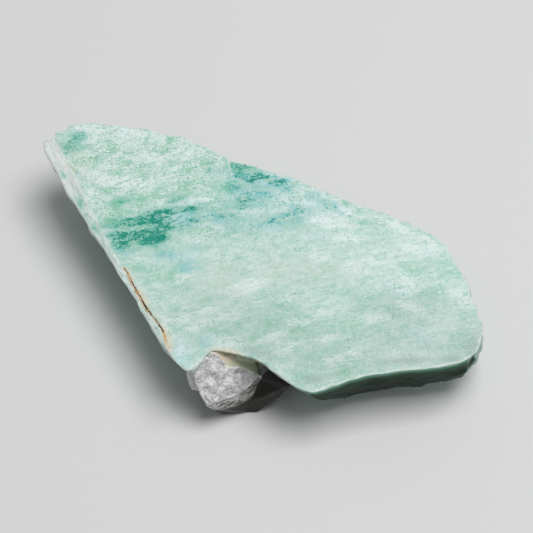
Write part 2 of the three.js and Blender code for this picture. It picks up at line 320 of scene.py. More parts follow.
wall_depths, under_depths = wall_relief(), under_relief()
print("blocks stand out by up to", -wall_depths.min().round(2), "mm")

# %% [markdown]
# ## The grooves, and the carving
#
# The open crack is a real groove, so that it holds a shadow from every side. Each open stretch has a start
# and an end, as shares of the crack's length, and a width. Noise on the distance makes its lips ragged. The
# rust beside it has eaten in a little too. Then all the depths are added up, each by its own share of the
# surface. The flat foot stays at the ground.

# %% Grooves, and carve the slab
CRACK_OPEN = [(0.02, 0.12, 0.8), (0.2, 0.33, 1.2), (0.41, 0.46, 1.1), (0.47, 0.56, 0.8), (0.57, 0.7, 0.9),
              (0.71, 0.8, 1.3)]
CRACK_DEPTH, RUST_DEPTH, HAIRLINE_DEPTH = 0.45, 0.08, 0.12

crack_gap, crack_share = distance_to(STAINED_CRACK, x, y)
crack_gap = crack_gap + 0.12 * noise_over(x / 0.7, y / 0.7, seed=41)
crack = np.zeros(len(x))
for start, end, wide in CRACK_OPEN:
    opened = rise(start - 0.01, start + 0.02, crack_share) * (1 - rise(end - 0.02, end + 0.01, crack_share))
    crack = np.maximum(crack, opened * (1 - rise(0.07 * wide, 0.2 * wide, np.abs(crack_gap))))
rust = (1 - rise(0.2, 0.46, np.abs(crack_gap))) * rise(0, 0.03, crack_share)
rust = rust * (1 - rise(0.88, 0.97, crack_share))
rust = rust * (0.95 + 0.6 * noise_over(crack_share * 23, np.zeros(len(x)), seed=44))
hairline_gap = np.min([np.abs(distance_to(path, x, y)[0]) for path in HAIRLINES], axis=0)
hairline = 1 - rise(0.03, 0.22, hairline_gap)

depths = is_top * (top_depths + CRACK_DEPTH * crack + RUST_DEPTH * np.clip(rust, 0, 1)
                   + HAIRLINE_DEPTH * hairline)
depths += is_wall * wall_depths
depths += is_under * under_depths * rise(0.05, 0.35, z)
carve(slab, depths)

# %% [markdown]
# ## Worn edges
#
# Smoothing moves each vertex towards the middle of its neighbours, so a few rounds of it on a band of
# vertices wear an edge down and leave the rest sharp. A Bevel modifier would round every edge alike. Where
# the stone parted cleanly at the front right, the upper edge is rounded over. The left edge is straight and
# a little worn, and the small splinters on the other walls have lost their points.

# %% Wear down the edges
def wear_down(piece, wanted, rounds):
    """Smooths the wanted vertices, a little in each round."""
    shape = bmesh.new()
    shape.from_mesh(piece.data)
    band = [vertex for vertex in shape.verts if wanted[vertex.index]]
    for _ in range(rounds):
        bmesh.ops.smooth_vert(shape, verts=band, factor=0.5,
                              use_axis_x=True, use_axis_y=True, use_axis_z=True)
    shape.to_mesh(piece.data)
    shape.free()
    print(len(band), "vertices of", piece.name, "worn down")


front_right_line = -30.8 + 0.66 * x
near_front_right = (y < front_right_line) & (x > 28)
strip_lip = (np.abs(strip_gap) < 1.1) & (below < 1.2)
unstained = (crack < 0.02) & (rust < 0.02)
wear_down(slab, near_front_right & (below < 3.4), rounds=12)
wear_down(slab, (left_edge > 0.3) | (strip_lip & unstained), rounds=7)
wear_down(slab, (is_wall > 0.2) & (left_edge < 0.3) & (np.abs(strip_gap) > 1.3), rounds=2)

# %% [markdown]
# ## Where the colours lie
#
# The blue-green comes from traces of lead and water in the feldspar, and it is patchy: deep teal in a few
# places, clear green in others, and white where the albite is thick. One noise can't put them where this
# stone has them, so each is an oval in plan: its middle, how long and wide it is, and how far it is turned.
# A separate script worked most of these millimetres out from the marks, and the rest were set afterwards.
# How much each vertex is covered goes into a named attribute of the mesh, which the material reads.

# %% Ovals, and attributes of the mesh
def oval_cover(ovals, x, y, strength=None):
    """How much each point is covered by ovals: 1 inside one, falling to 0 a little outside it.

    With a strength the ovals are washes instead, and each one that overlaps another adds to it.
    """
    cover = np.zeros(len(x))
    for middle_x, middle_y, long, wide, turn in ovals:
        angle = math.radians(turn)
        along = (x - middle_x) * math.cos(angle) + (y - middle_y) * math.sin(angle)
        across = (y - middle_y) * math.cos(angle) - (x - middle_x) * math.sin(angle)
        reach = np.hypot(2 * along / long, 2 * across / wide)
        here = 1 - rise(0.1, 1.8, reach)
        cover = np.maximum(cover, here) if strength is None else 1 - (1 - cover) * (1 - strength * here)
    return cover


def give(piece, name, values):
    """Puts one number for each vertex into a named attribute of the mesh."""
    numbers = piece.data.attributes.new(name, "FLOAT", "POINT")
    numbers.data.foreach_set("value", np.asarray(values, np.float32))


# %% [markdown]
# ## Ragged ends, and colour on the walls
#
# The ovals must not look like ovals. The vertices' places are pulled about by noise before they are
# compared with them, more along the grain than across it, so the ends feather out as real ones do. On the
# walls the colour goes on down into the stone. There the places are shifted with the depth, so the patches
# lean as layers seen from the side, and the teal fades.

# %% Pull the places about
def grain_pull():
    """The vertices' places pulled about by noise, more along the grain than across it."""
    du = 0.9 * noise_over(u / 3.0, v / 0.9, seed=51) + 0.5 * noise_over(u / 1.2, v / 0.6, seed=52)
    dv = 0.4 * noise_over(u / 2.2, v / 1.4, seed=53)
    far, side = u + du, v + dv
    return far * math.cos(GRAIN) - side * math.sin(GRAIN), far * math.sin(GRAIN) + side * math.cos(GRAIN)


pulled_x, pulled_y = grain_pull()
sunk = np.maximum(below - 1.2, 0)
pulled_x += 0.9 * sunk + 0.8 * noise_over(y / 5, z / 2.5, seed=57) * sunk
pulled_y -= 0.6 * sunk
teal_fading = 1 - 0.7 * rise(1.2, 5, below)
print("ovals pulled about by up to", np.hypot(pulled_x - x, pulled_y - y)[below < 1].max().round(1), "mm")

# %% [markdown]
# ## Aqua places
#
# Along the back edge, and in a broad band from there to the left, the stone is bluer. The band is one large
# oval at less than half strength, and the smaller places lie in it and around it.

# %% Aqua
AQUA = [
    (-24.3, -11.1, 4.8, 2.7, 5), (-17.8, 4.3, 7.6, 4.6, 32), (-13.9, -6.1, 8.6, 3.1, 32),
    (-10.7, 8.4, 7.6, 3.6, 32), (-9.5, -6.6, 5.8, 2.4, 45), (-9.3, -6.9, 6.4, 3.8, 46),
    (-7.6, 20.2, 15.4, 10.8, 20), (-4.2, 24.9, 8.9, 4.7, 16), (-0.1, 13.4, 9.3, 5.0, 33),
    (0.5, -26.6, 5.1, 3.6, 47), (2.6, -28.4, 4.3, 2.9, 60), (3.0, 19.6, 8.8, 5.7, 34),
    (4.0, 24.9, 3.7, 2.4, -11), (4.3, -22.7, 3.7, 2.7, -24), (4.8, -20.8, 5.0, 2.0, 32),
    (5.6, 24.6, 6.7, 5.6, -8), (10.4, 25.5, 8.3, 2.8, 7), (15.4, -18.8, 4.3, 1.9, -4),
    (33.6, 12.7, 4.6, 2.0, 7), (36.6, 9.8, 2.1, 2.0, 84), (44.4, 4.8, 4.5, 2.0, 8)]
AQUA_BAND = [(-7, 14, 42, 15, 28)]
AQUA_BAND_SHARE = 0.45

aqua_band = AQUA_BAND_SHARE * oval_cover(AQUA_BAND, pulled_x, pulled_y)
give(slab, "aqua", np.maximum(oval_cover(AQUA, pulled_x, pulled_y), aqua_band))
print(len(AQUA), "aqua places")

# %% [markdown]
# ## Green places
#
# These have less albite in them, so the clear green of the feldspar shows. Most are small and lie scattered
# over the whole face.

# %% Green
GREEN = [
    (-47.8, -1.1, 3.1, 1.4, -26), (-45.3, 5.7, 6.7, 3.2, 59), (-45.1, 11.8, 5.5, 2.2, 12),
    (-42.4, 11.5, 3.1, 2.1, 0), (-40.5, -5.1, 2.9, 2.0, -13), (-38.1, 9.8, 4.8, 1.7, 26),
    (-37.8, 6.1, 3.6, 2.2, 47), (-37.0, 18.0, 3.9, 3.0, 32), (-36.9, 19.4, 3.4, 1.8, 30),
    (-36.6, 1.2, 5.3, 1.8, 45), (-33.4, -1.5, 4.5, 2.5, 60), (-33.4, 10.2, 3.9, 2.2, 53),
    (-33.1, 8.8, 3.4, 2.2, 30), (-33.0, 21.7, 4.5, 2.2, 18), (-32.4, 0.4, 3.6, 2.2, 50),
    (-32.0, 17.9, 5.1, 2.6, 32), (-31.9, -6.0, 4.9, 2.5, 32), (-31.8, -3.0, 6.4, 3.9, 39),
    (-30.9, 20.9, 4.0, 1.8, 10), (-30.0, 2.6, 4.0, 2.4, 45), (-29.9, 2.6, 3.4, 2.0, 31),
    (-29.5, 2.7, 5.4, 3.2, 60), (-27.4, 5.3, 6.5, 2.4, 45), (-24.4, 15.9, 4.8, 2.2, 46),
    (-22.8, 11.7, 4.1, 2.2, 32), (-22.3, 8.8, 5.8, 2.0, 58), (-21.8, 20.2, 3.9, 2.6, 17),
    (-20.5, 14.7, 3.5, 1.7, 32), (-19.7, 11.8, 3.6, 2.0, 30), (-19.0, -12.6, 4.6, 2.4, 25),
    (-16.3, 13.9, 4.4, 2.2, 35), (-15.2, 16.3, 6.9, 3.6, 12), (-15.1, 12.2, 5.3, 2.9, 32),
    (-13.4, -12.8, 8.6, 4.1, 32), (-13.4, 17.0, 4.6, 2.6, 20), (-13.0, 2.0, 4.0, 2.0, 32),
    (-12.6, 11.1, 4.0, 1.8, 33), (-7.2, -13.4, 4.5, 2.4, 32), (-6.2, -18.3, 3.7, 1.7, 45),
    (-1.5, -12.9, 4.7, 2.0, 57), (4.3, -18.0, 4.2, 1.8, 45), (7.0, -17.5, 5.3, 2.2, 32),
    (8.5, -14.6, 4.3, 2.7, 83), (12.8, -4.8, 4.9, 2.5, 70), (13.3, -15.5, 3.2, 2.3, -83),
    (14.0, -9.5, 4.5, 3.0, 33), (14.6, -10.0, 7.4, 4.3, 46), (14.7, -12.3, 4.1, 1.9, 57),
    (17.5, 9.9, 3.5, 3.0, -8), (17.5, 24.5, 4.7, 2.5, 19), (20.1, -10.4, 4.8, 2.8, 70),
    (20.6, -7.4, 5.0, 4.2, -64), (22.0, -1.2, 4.0, 2.4, 30), (22.2, -1.2, 4.0, 2.0, 35),
    (23.5, 24.5, 4.7, 2.8, 34), (27.8, -18.0, 6.2, 3.2, 45), (28.0, -14.0, 5.6, 3.9, 34),
    (28.5, 16.3, 4.0, 2.2, 35), (29.7, -7.9, 5.8, 2.5, 57), (29.9, -1.5, 9.2, 3.9, 45),
    (29.9, 7.6, 2.9, 1.7, 34), (34.0, 20.3, 7.9, 3.9, 58), (35.6, -11.5, 5.1, 3.2, 47),
    (35.9, 6.9, 3.7, 2.4, -33), (36.8, 16.0, 4.6, 3.0, 41), (41.1, 24.3, 6.5, 4.7, -12),
    (43.0, 14.6, 7.4, 6.4, -2), (43.6, 8.2, 4.0, 3.0, 4), (50.6, 14.2, 3.6, 2.5, -24),
    (51.6, 9.3, 5.7, 4.0, 36)]
give(slab, "green", oval_cover(GREEN, pulled_x, pulled_y))
print(len(GREEN), "green places")

# %% [markdown]
# ## White places
#
# Here the albite is thick. The long ones follow the grain, as feathers of lamellae do.

# %% White
WHITE = [
    (-52.3, 3.5, 4.4, 2.9, -24), (-50.2, 14.1, 6.0, 2.3, 25), (-49.9, 7.2, 1.2, 0.7, 31),
    (-46.6, 11.5, 6.5, 1.7, -4), (-42.3, 9.8, 4.2, 1.4, -5), (-42.1, 2.5, 6.7, 2.1, 7),
    (-40.8, 18.3, 7.8, 2.3, 26), (-39.3, -2.2, 3.4, 2.1, 3), (-34.8, 4.9, 8.8, 2.6, 39),
    (-33.2, 14.3, 6.0, 2.2, 45), (-31.1, -8.7, 2.3, 0.9, 32), (-29.0, 7.8, 3.8, 1.5, 32),
    (-28.1, 20.1, 6.6, 3.0, 19), (-26.7, 0.0, 5.9, 1.1, 50), (-26.0, -5.5, 1.7, 0.7, 32),
    (-24.7, -4.7, 5.5, 1.0, 40), (-20.2, 17.6, 3.3, 2.2, 33), (-19.1, 3.1, 3.2, 2.1, 32),
    (-16.2, 11.1, 3.5, 1.4, 32), (-14.2, 7.4, 2.9, 0.9, 32), (-13.8, 10.7, 3.5, 1.1, 32),
    (-9.3, -10.2, 3.4, 1.6, 32), (-8.1, 22.7, 3.3, 1.4, 6), (-7.8, 25.2, 5.1, 1.3, 15),
    (-5.9, 14.0, 5.3, 1.3, 32), (-5.8, -23.0, 4.5, 2.4, -50), (-2.9, -19.8, 4.2, 2.0, 45),
    (-1.6, 20.4, 3.6, 1.2, 33), (-0.5, 23.3, 7.2, 2.2, 45), (-0.1, -15.2, 5.1, 2.0, 45),
    (0.0, 13.0, 2.6, 1.0, 33), (0.4, 18.3, 4.5, 1.4, 45), (0.6, -19.5, 5.2, 1.9, 56),
    (2.2, 16.6, 3.4, 0.9, 40), (5.0, -13.7, 5.7, 2.0, 44), (5.0, -4.0, 6.8, 2.6, 57),
    (5.7, 22.6, 5.4, 2.5, 6), (6.8, 22.4, 6.5, 2.5, 33), (7.8, -20.5, 7.3, 3.0, 32),
    (12.3, 21.6, 9.9, 3.6, 17), (13.5, 26.2, 6.5, 1.1, 8), (13.8, -2.5, 3.7, 2.0, 46),
    (14.0, -2.4, 3.6, 2.3, 61), (14.4, 11.7, 3.2, 2.1, 34), (16.5, -13.1, 7.5, 1.5, 55),
    (17.2, 19.7, 4.7, 2.1, 33), (19.2, -6.9, 4.5, 2.2, 30), (21.3, -13.6, 4.8, 1.7, 67),
    (22.8, -1.7, 3.5, 2.0, 46), (23.0, 13.0, 5.2, 2.8, 13), (25.4, 16.9, 3.2, 2.1, 34),
    (25.7, 28.4, 8.9, 1.8, 2), (26.8, -7.4, 5.8, 1.3, 55), (31.0, -11.3, 5.1, 2.6, 45),
    (31.5, 24.9, 6.7, 3.1, 7), (33.1, 3.2, 6.9, 2.2, 39), (33.8, 28.0, 5.4, 2.4, -6),
    (34.1, -7.1, 5.2, 1.9, 56), (35.2, 15.8, 5.8, 4.4, 37), (38.7, 10.7, 5.1, 2.0, 8),
    (47.9, 18.9, 5.4, 3.5, -22), (55.1, 12.3, 3.5, 2.4, -45)]
give(slab, "white", oval_cover(WHITE, pulled_x, pulled_y))
print(len(WHITE), "white places")

# %% [markdown]
# ## Teal in three steps
#
# The teal is strongest in the middle of the left lobe and thins out round it. It comes in three steps: deep,
# middling and a faint tinge. The core of the deep teal is solid, with hardly any white in it.

# %% Places of the teal
DEEP = [
    (-27.6, -8.2, 4.3, 1.5, 32), (-27.0, -3.3, 5.6, 1.6, 42), (-26.2, -9.9, 3.4, 1.7, 39),
    (-23.8, 0.8, 5.9, 2.8, 46), (-23.2, -1.0, 3.2, 1.5, 32), (-22.5, -5.3, 6.6, 2.8, 30),
    (-21.4, -4.7, 4.4, 2.2, 32), (-20.9, -4.6, 3.4, 2.9, -57), (-20.4, -1.0, 3.2, 2.1, 47),
    (-18.4, 6.9, 2.3, 1.0, 36)]
MIDDLING = [
    (-51.5, 10.2, 3.0, 2.0, 48), (-51.2, 6.0, 4.0, 3.0, 72), (-48.3, -1.0, 2.6, 1.2, -30),
    (-40.6, -5.6, 3.0, 1.4, -33), (-33.6, -9.4, 3.6, 1.3, -35), (-33.2, -0.6, 3.4, 1.8, 50),
    (-30.1, -6.0, 6.4, 2.0, 38), (-22.5, 3.1, 3.6, 1.7, 59), (-21.9, 7.7, 4.5, 1.4, 57),
    (-20.1, 5.4, 5.4, 1.4, 36), (-20.1, 18.4, 1.8, 1.4, 30), (-15.3, 22.7, 5.5, 2.4, -28),
    (-14.8, 4.8, 2.6, 1.1, 32), (-13.2, 17.6, 2.6, 1.6, 30), (-12.3, 24.6, 4.5, 1.8, 17),
    (-10.2, 9.6, 3.2, 1.2, 35), (-9.7, 21.7, 2.7, 1.6, -31), (-9.2, 23.8, 2.1, 1.5, 34),
    (-8.7, 15.2, 3.2, 2.4, -73), (-7.7, 23.8, 3.0, 1.4, 12), (-5.0, 24.4, 4.5, 2.0, 16)]
TINGE = [
    (-52.0, 7.8, 6.6, 5.4, 50), (-29.9, 2.5, 4.4, 2.4, 35), (-27.3, 8.3, 3.2, 1.8, 32),
    (-26.2, -11.4, 3.2, 2.1, 31), (-24.8, -3.0, 15.7, 7.1, 37), (-24.6, -11.7, 4.0, 1.7, 32),
    (-22.3, -6.9, 13.8, 4.2, 32), (-19.6, 17.3, 3.4, 1.8, 30), (-18.6, -13.7, 3.2, 1.6, 32),
    (-18.2, 4.2, 8.6, 4.0, 39), (-16.7, 1.6, 4.6, 2.8, 32), (-16.5, 9.3, 3.4, 1.8, 33),
    (-16.0, -7.1, 4.6, 2.1, 32), (-11.9, 9.3, 8.8, 4.3, 32), (-11.0, -2.0, 4.0, 1.8, 32),
    (-10.7, 17.3, 8.2, 6.9, -48), (-9.9, 23.5, 12.5, 4.4, 17), (-9.3, -6.9, 5.8, 3.1, 46),
    (-7.8, 9.3, 4.7, 2.1, 32), (-6.1, 7.1, 3.6, 2.0, 32), (-5.5, 18.5, 5.9, 5.1, 36),
    (-3.7, 20.0, 3.2, 1.7, 33), (-2.1, 24.9, 4.4, 2.6, 19), (-1.0, 23.2, 3.2, 1.8, 25),
    (-0.4, 14.0, 8.2, 3.8, 33), (0.6, 14.6, 4.0, 1.8, 46), (3.2, 19.3, 6.4, 4.3, 34),
    (3.6, 25.3, 2.2, 1.8, -63), (3.9, 20.5, 2.9, 1.3, 33), (4.5, -23.0, 4.0, 2.2, 35),
    (4.5, 17.7, 3.3, 3.2, 76), (7.6, 22.6, 4.0, 2.0, 30), (8.3, 25.4, 5.0, 2.4, 10),
    (9.4, 25.1, 3.4, 1.4, -6)]
SOLID_CORE = [(-21.3, -4.8, 6.0, 2.8, 32), (-20.9, -4.6, 3.4, 2.9, -57)]
print(len(DEEP), "deep,", len(MIDDLING), "middling and", len(TINGE), "tinged places")

# %% [markdown]
# ## Laying the teal on
#
# It is laid on as a painter lays washes, so each oval that overlaps another makes the colour darker. A wash
# leaves some of the stone bare, and the bare shares are multiplied. Seams of teal show on the broken walls
# too, where a smooth noise is high.

# %% Teal
WASHES = ((DEEP, 0.97), (MIDDLING, 0.5), (TINGE, 0.25))
SPREAD = 1.25

bare = np.ones(len(x))
for ovals, strength in WASHES:
    spread_out = [(*middle, SPREAD * long, SPREAD * wide, turn) for *middle, long, wide, turn in ovals]
    bare *= 1 - oval_cover(spread_out, pulled_x, pulled_y, strength)
seams = rise(0.12, 0.5, noise_over(y / 9, z / 4, seed=58)) * rise(1.2, 4, below)
solid = oval_cover(SOLID_CORE, pulled_x, pulled_y)
give(slab, "teal", (1 - bare) * teal_fading + 0.4 * seams + 0.5 * solid)
print("teal covers", round(100 * float((bare < 0.5)[is_top > 0.5].mean()), 1), "% of the top")

# %% [markdown]
# ## Broad changes of tone
#
# Over tens of millimetres the face is creamier in the middle and paler towards the back and the front corner.
# It is painted greyer on the right, most of all where its edge rolls over: painted shade, where less light
# falls.

# %% Cream, painted shade and pale
CREAM = [(-1.5, -5.5, 14, 12, 0), (8, 3, 18, 9, 20), (16, 8, 14, 8, 20), (-46, 3.4, 12, 4, -22)]
# painted shade: greyer towards the right, where less of the lamp's light falls
SHADE_ON_RIGHT = [(40, 8, 26, 14, 30), (44, 0, 40, 18, 35), (14, -14, 48, 18, 15), (30, -12, 24, 14, 20),
         (52, 8, 12, 20, 10)]
# painted shade where the edge rolls over and turns away from the light
ROLLED_EDGE_SHADE = [(56.4, 8.4, 3.4, 12, 12), (53.5, 3.0, 7.0, 2.6, 46), (29.9, -17.9, 6.5, 2.4, 38),
               (45.0, -2.6, 12.0, 1.6, 36), (15.8, -18.3, 7.0, 2.0, 12)]
PALE = [(30, 21, 30, 16, 15), (46, 14, 10, 20, 20), (45, 0, 16, 6, 36), (0, -26.5, 6, 6, 0),
        (-40, 17, 16, 6, 25)]

give(slab, "cream", oval_cover(CREAM, x, y))
give(slab, "right shade", oval_cover(SHADE_ON_RIGHT, x, y) + 1.4 * oval_cover(ROLLED_EDGE_SHADE, x, y))
give(slab, "pale", oval_cover(PALE, x, y))
print(len(slab.data.attributes), "attributes so far")

# %% [markdown]
# ## Frost and rust
#
# The left lobe is frosted: thousands of tiny broken layers make it sparkle, and the rest of the face is
# smoother. Rust fills the crack and has soaked into the stone beside it, more on the side of the face than
# on the strip. One hairline near the left tip holds a thread of rust too.

# %% Frost, rust and stain
RUSTY_HAIRLINE = (-47, 1.4)

places, normals = surface_of(slab)
x, y, z = places.T
below = TOP_HEIGHT - TOP_FALL * x - z
give(slab, "frost", 0.35 + 0.65 * rise(6, 12, v + 2 * noise_over(u / 6, v / 3, seed=71)))
give(slab, "crack", is_top * crack)
give(slab, "crack share", crack_share)
thread = hairline * (1 - rise(2, 3, np.hypot(x - RUSTY_HAIRLINE[0], y - RUSTY_HAIRLINE[1])))
give(slab, "rust", is_top * np.clip(rust + 0.8 * thread, 0, 1))
middle_stretch = rise(0.3, 0.4, crack_share) * (1 - rise(0.48, 0.56, crack_share))
soaked = 0.35 + 0.65 * np.maximum(middle_stretch, rise(0.72, 0.85, crack_share))
halo = np.where(crack_gap > 0, 1 - rise(0.3, 2.2, crack_gap), 1 - rise(0.1, 0.6, -crack_gap))
give(slab, "stain", is_top * halo * soaked * rise(0, 0.1, crack_share))
give(slab, "hairline", is_top * hairline)
print(int((rust > 0.5).sum()), "rusty vertices")

# %% [markdown]
# ## The strip along the left edge
#
# It is a sliver of the next layer down, grey-white with fine splits along it, and palest at the tip. In
# three small gaps the green shows through.

# %% Strip
GREEN_GAPS = [(-48.3, -1.0, 3.0, 1.4, -30), (-40.6, -5.6, 3.4, 1.5, -33), (-33.6, -9.4, 4.0, 1.5, -35)]

on_strip = is_top * (1 - rise(-0.7, 0.1, strip_gap)) * (1 - rise(1.2, 2, below))
on_strip *= 1 - 0.8 * oval_cover(GREEN_GAPS, x, y)
give(slab, "tip", on_strip * (1 - rise(-48, -38, x)))
give(slab, "strip", on_strip)
give(slab, "strip line", is_top * (1 - rise(0.1, 0.6, np.abs(strip_gap + 0.2))))
print(int((on_strip > 0.5).sum()), "vertices on the strip")

# %% [markdown]
# ## Finding the ridges
#
# Every sharp ridge of the rim is painted paler, a painted highlight where an edge catches the light, and so
# are the quartz's ridges. The Geometry node's Pointiness finds ridges too, but it works in one renderer only
# and changes with the mesh. Here a vertex is on a ridge when it stands out from its neighbours, which the
# mesh's edges tell.

# %% Find the ridges
def ridges_of(piece):
    """How far each vertex stands out from its neighbours, in millimetres: most along a ridge."""
    mesh = piece.data
    ends = np.empty(2 * len(mesh.edges), np.int32)
    mesh.edges.foreach_get("vertices", ends)
    one, other = ends.reshape(-1, 2).T
    count = np.bincount(ends, minlength=len(mesh.vertices))
    places, normals = surface_of(piece)

    def beside(values):
        total = np.bincount(one, values[other], len(count)) + np.bincount(other, values[one], len(count))
        return total / count

    out = sum((places[:, k] - beside(places[:, k])) * normals[:, k] for k in range(3))
    return 0.5 * (out + beside(out))


ridges = ridges_of(slab)
print("ridges, mm:", np.percentile(ridges, (50, 90, 99)).round(3))

# %% [markdown]
# ## Walls, painted rim highlight, painted wall shade and bay
#
# Only ridges near the top count as the rim, and not the flat face itself. The rim is painted paler as a
# highlight, and little of that lies in the bay above the quartz, where the rim is in shade. The front right
# wall parted cleanly. It goes from deep green to nearly black downwards: partly the stone's own deeper green
# and partly painted shade under the rim. The bay's wall is olive, and the face above it is stained in two
# places.

# %% Walls, rim and bay
BAY_STAIN = [(9.8, -22.1, 6.2, 1.9, 25), (8.0, -22.9, 2.6, 1.4, 32)]

give(slab, "wall", is_wall + is_under)
give(slab, "depth", rise(0, 9, below))
# painted highlight: ridges of the rim are painted paler, where edges catch the light
rim_highlight = rise(0.003, 0.02, ridges) * (1 - rise(1.5, 3, below))
rim_highlight = rim_highlight * (1 - rise(0.93, 0.985, normals[:, 2]))
sheltered = 1 - rise(6, 9, np.hypot(x - 12, y + 20))
give(slab, "rim", rim_highlight * (1 - front_right) * (1 - 0.9 * sheltered))
# partly the stone's deeper green, partly painted shade that darkens down the front right wall
give(slab, "deep green and shade", front_right * rise(0.2, 0.6, 1 - normals[:, 2]))
give(slab, "bay", is_wall * (1 - rise(8, 13, np.hypot(x - 15, y + 21))) * rise(11, 13.5, x))
give(slab, "bay stain", oval_cover(BAY_STAIN, x, y) * (1 - rise(2, 5, below)))
print(int((rim_highlight > 0.5).sum()), "bruised vertices")

# %% [markdown]
# ## Building materials in code
#
# Materials are node trees. In the editor they are wired by hand. In code, small helpers keep that short:
# one adds a node and fills its sockets, one does a sum, and one mixes two colours. Colours are written the
# way a paint chart gives them, and turned to the linear values that Blender works in.

# %% Helpers for colours and sockets
def colour(code):
    """A linear colour from a six-digit chart code."""
    shares = [int(code[i : i + 2], 16) / 255 for i in (0, 2, 4)]
    return (*[s / 12.92 if s < 0.04045 else ((s + 0.055) / 1.055) ** 2.4 for s in shares], 1)


def put(tree, socket, value):
    """Links a socket to another one, or sets its number."""
    if isinstance(value, bpy.types.NodeSocket):
        tree.links.new(value, socket)
    else:
        socket.default_value = value


def add(tree, kind, inputs=(), **settings):
    """A new node with its settings and its inputs."""
    made = tree.nodes.new(kind)
    for name, value in settings.items():
        setattr(made, name, value)
    for name, value in dict(inputs).items():
        put(tree, made.inputs[name], value)
    return made


def attribute(tree, name):
    """The number that each vertex has in a named attribute."""
    return add(tree, "ShaderNodeAttribute", attribute_name=name).outputs["Fac"]


print("a middle grey, linear:", round(colour("808080")[0], 3))

# %% [markdown]
# ## Sums and mixes
#
# Most of a finish is arithmetic on masks: how much of a colour shows at each point, and how that share is
# broken up. These helpers name the few sums that come back again and again, so that a layer of the finish
# is one line. Each returns a socket, which the next one takes.

# %% Helpers for sums and mixes
def calc(tree, operation, *values):
    """The result of a sum of one to three values."""
    made = tree.nodes.new("ShaderNodeMath")
    made.operation = operation
    for socket, value in zip(made.inputs, values):
        put(tree, socket, value)
    return made.outputs[0]


def shifted(tree, base, value, strength):
    """A base value moved up or down by a value that varies about one half."""
    return calc(tree, "MULTIPLY_ADD", calc(tree, "SUBTRACT", value, 0.5), strength, base)


def mixed(tree, share, under, over):
    """One colour laid over another by a share."""
    made = tree.nodes.new("ShaderNodeMix")
    made.data_type = "RGBA"
    put(tree, made.inputs[0], share)
    put(tree, made.inputs[6], under)
    put(tree, made.inputs[7], colour(over) if isinstance(over, str) else over)
    return made.outputs[2]


def laid(tree, mask, strength, under, over):
    """A colour laid over another where a mask is, at some of the mask's strength."""
    return mixed(tree, calc(tree, "MULTIPLY", mask, strength), under, over)


# %% [markdown]
# ## Ramps
#
# A ramp turns one value into another: noise into a mask with a soft edge, or a position along the crack
# into a colour. The first kind is a Map Range node, and the second a Color Ramp.

# %% Helpers for ramps
def ramped(tree, value, low, high):
    """0 where a value is under low, 1 where it is over high, and smooth between them."""
    made = add(tree, "ShaderNodeMapRange", {"Value": value, "From Min": low, "From Max": high},
               interpolation_type="SMOOTHSTEP")
    return made.outputs["Result"]


def ramp_of(tree, value, stops):
    """Colours along a value, from pairs of a position and a colour."""
    made = add(tree, "ShaderNodeValToRGB", {"Fac": value})
    elements = made.color_ramp.elements
    elements.remove(elements[1])
    elements[0].position, elements[0].color = stops[0][0], colour(stops[0][1])
    for position, code in stops[1:]:
        elements.new(position).color = colour(code)
    return made.outputs["Color"]


# %% [markdown]
# ## Streaks, which both minerals share
#
# Streaks are noise stretched in one direction. Along the grain they are the albite's lamellae, and across
# it they are traces of the second cleavage. The same noise also gives threads, the thin lines where it
# passes its middle value. A Wave texture would give stripes, but too even ones. Every material needs
# streaks, with other sizes, so the effect is a node group with named inputs, built once.

# %% The streaks group
def new_group(name, numbers, results):
    """An empty node group with a vector and some numbers coming in, and values going out."""
    group = bpy.data.node_groups.new(name, "ShaderNodeTree")
    group.interface.new_socket("Vector", in_out="INPUT", socket_type="NodeSocketVector")
    for number in numbers:
        group.interface.new_socket(number, in_out="INPUT", socket_type="NodeSocketFloat")
    for result in results:
        group.interface.new_socket(result, in_out="OUTPUT", socket_type="NodeSocketFloat")
    return group, group.nodes.new("NodeGroupInput").outputs, group.nodes.new("NodeGroupOutput").inputs


def streaks_group():
    """Noise with its humps long in one direction. Sizes are in metres and Turn is in radians."""
    tree, given, out = new_group("streaks", ["Turn", "Along", "Across", "Seed", "Roughness", "Wisps"],
                                 ["Soft", "Threads"])
    turned = add(tree, "ShaderNodeVectorRotate",
                 {"Vector": given["Vector"], "Angle": calc(tree, "MULTIPLY", given["Turn"], -1)},
                 rotation_type="Z_AXIS")
    size = add(tree, "ShaderNodeCombineXYZ",
               {"X": given["Along"], "Y": given["Across"], "Z": given["Across"]})
    scaled = add(tree, "ShaderNodeVectorMath", {0: turned.outputs[0], 1: size.outputs[0]}, operation="DIVIDE")
    moved = add(tree, "ShaderNodeVectorMath", {0: scaled.outputs[0], 1: given["Seed"]}, operation="ADD")
    wave = add(tree, "ShaderNodeTexNoise",
               {"Vector": moved.outputs[0], "Scale": 1.0, "Detail": 5.0, "Roughness": given["Roughness"],
                "Distortion": given["Wisps"]})
    soft = add(tree, "ShaderNodeMapRange", {"Value": wave.outputs[0], "From Min": 0.32, "From Max": 0.68})
    put(tree, out["Soft"], soft.outputs["Result"])
    off_middle = calc(tree, "ABSOLUTE", calc(tree, "SUBTRACT", wave.outputs[0], 0.5))
    put(tree, out["Threads"], calc(tree, "SUBTRACT", 1, ramped(tree, off_middle, 0.0, 0.022)))
    return tree


STREAKS = streaks_group()
print(STREAKS.name, "group:", len(STREAKS.nodes), "nodes")

# %% [markdown]
# ## Flecks
#
# A fleck is a small dot. Most are painted glints, where a crystal grain catches the light, and on the quartz
# some are painted shade in small pits. Very fine noise cut off hard would give ragged blots of all sizes. A
# Voronoi texture gives round dots of one size, one in each cell, and each cell has a random colour of its
# own, so a share of the cells can be chosen by it.

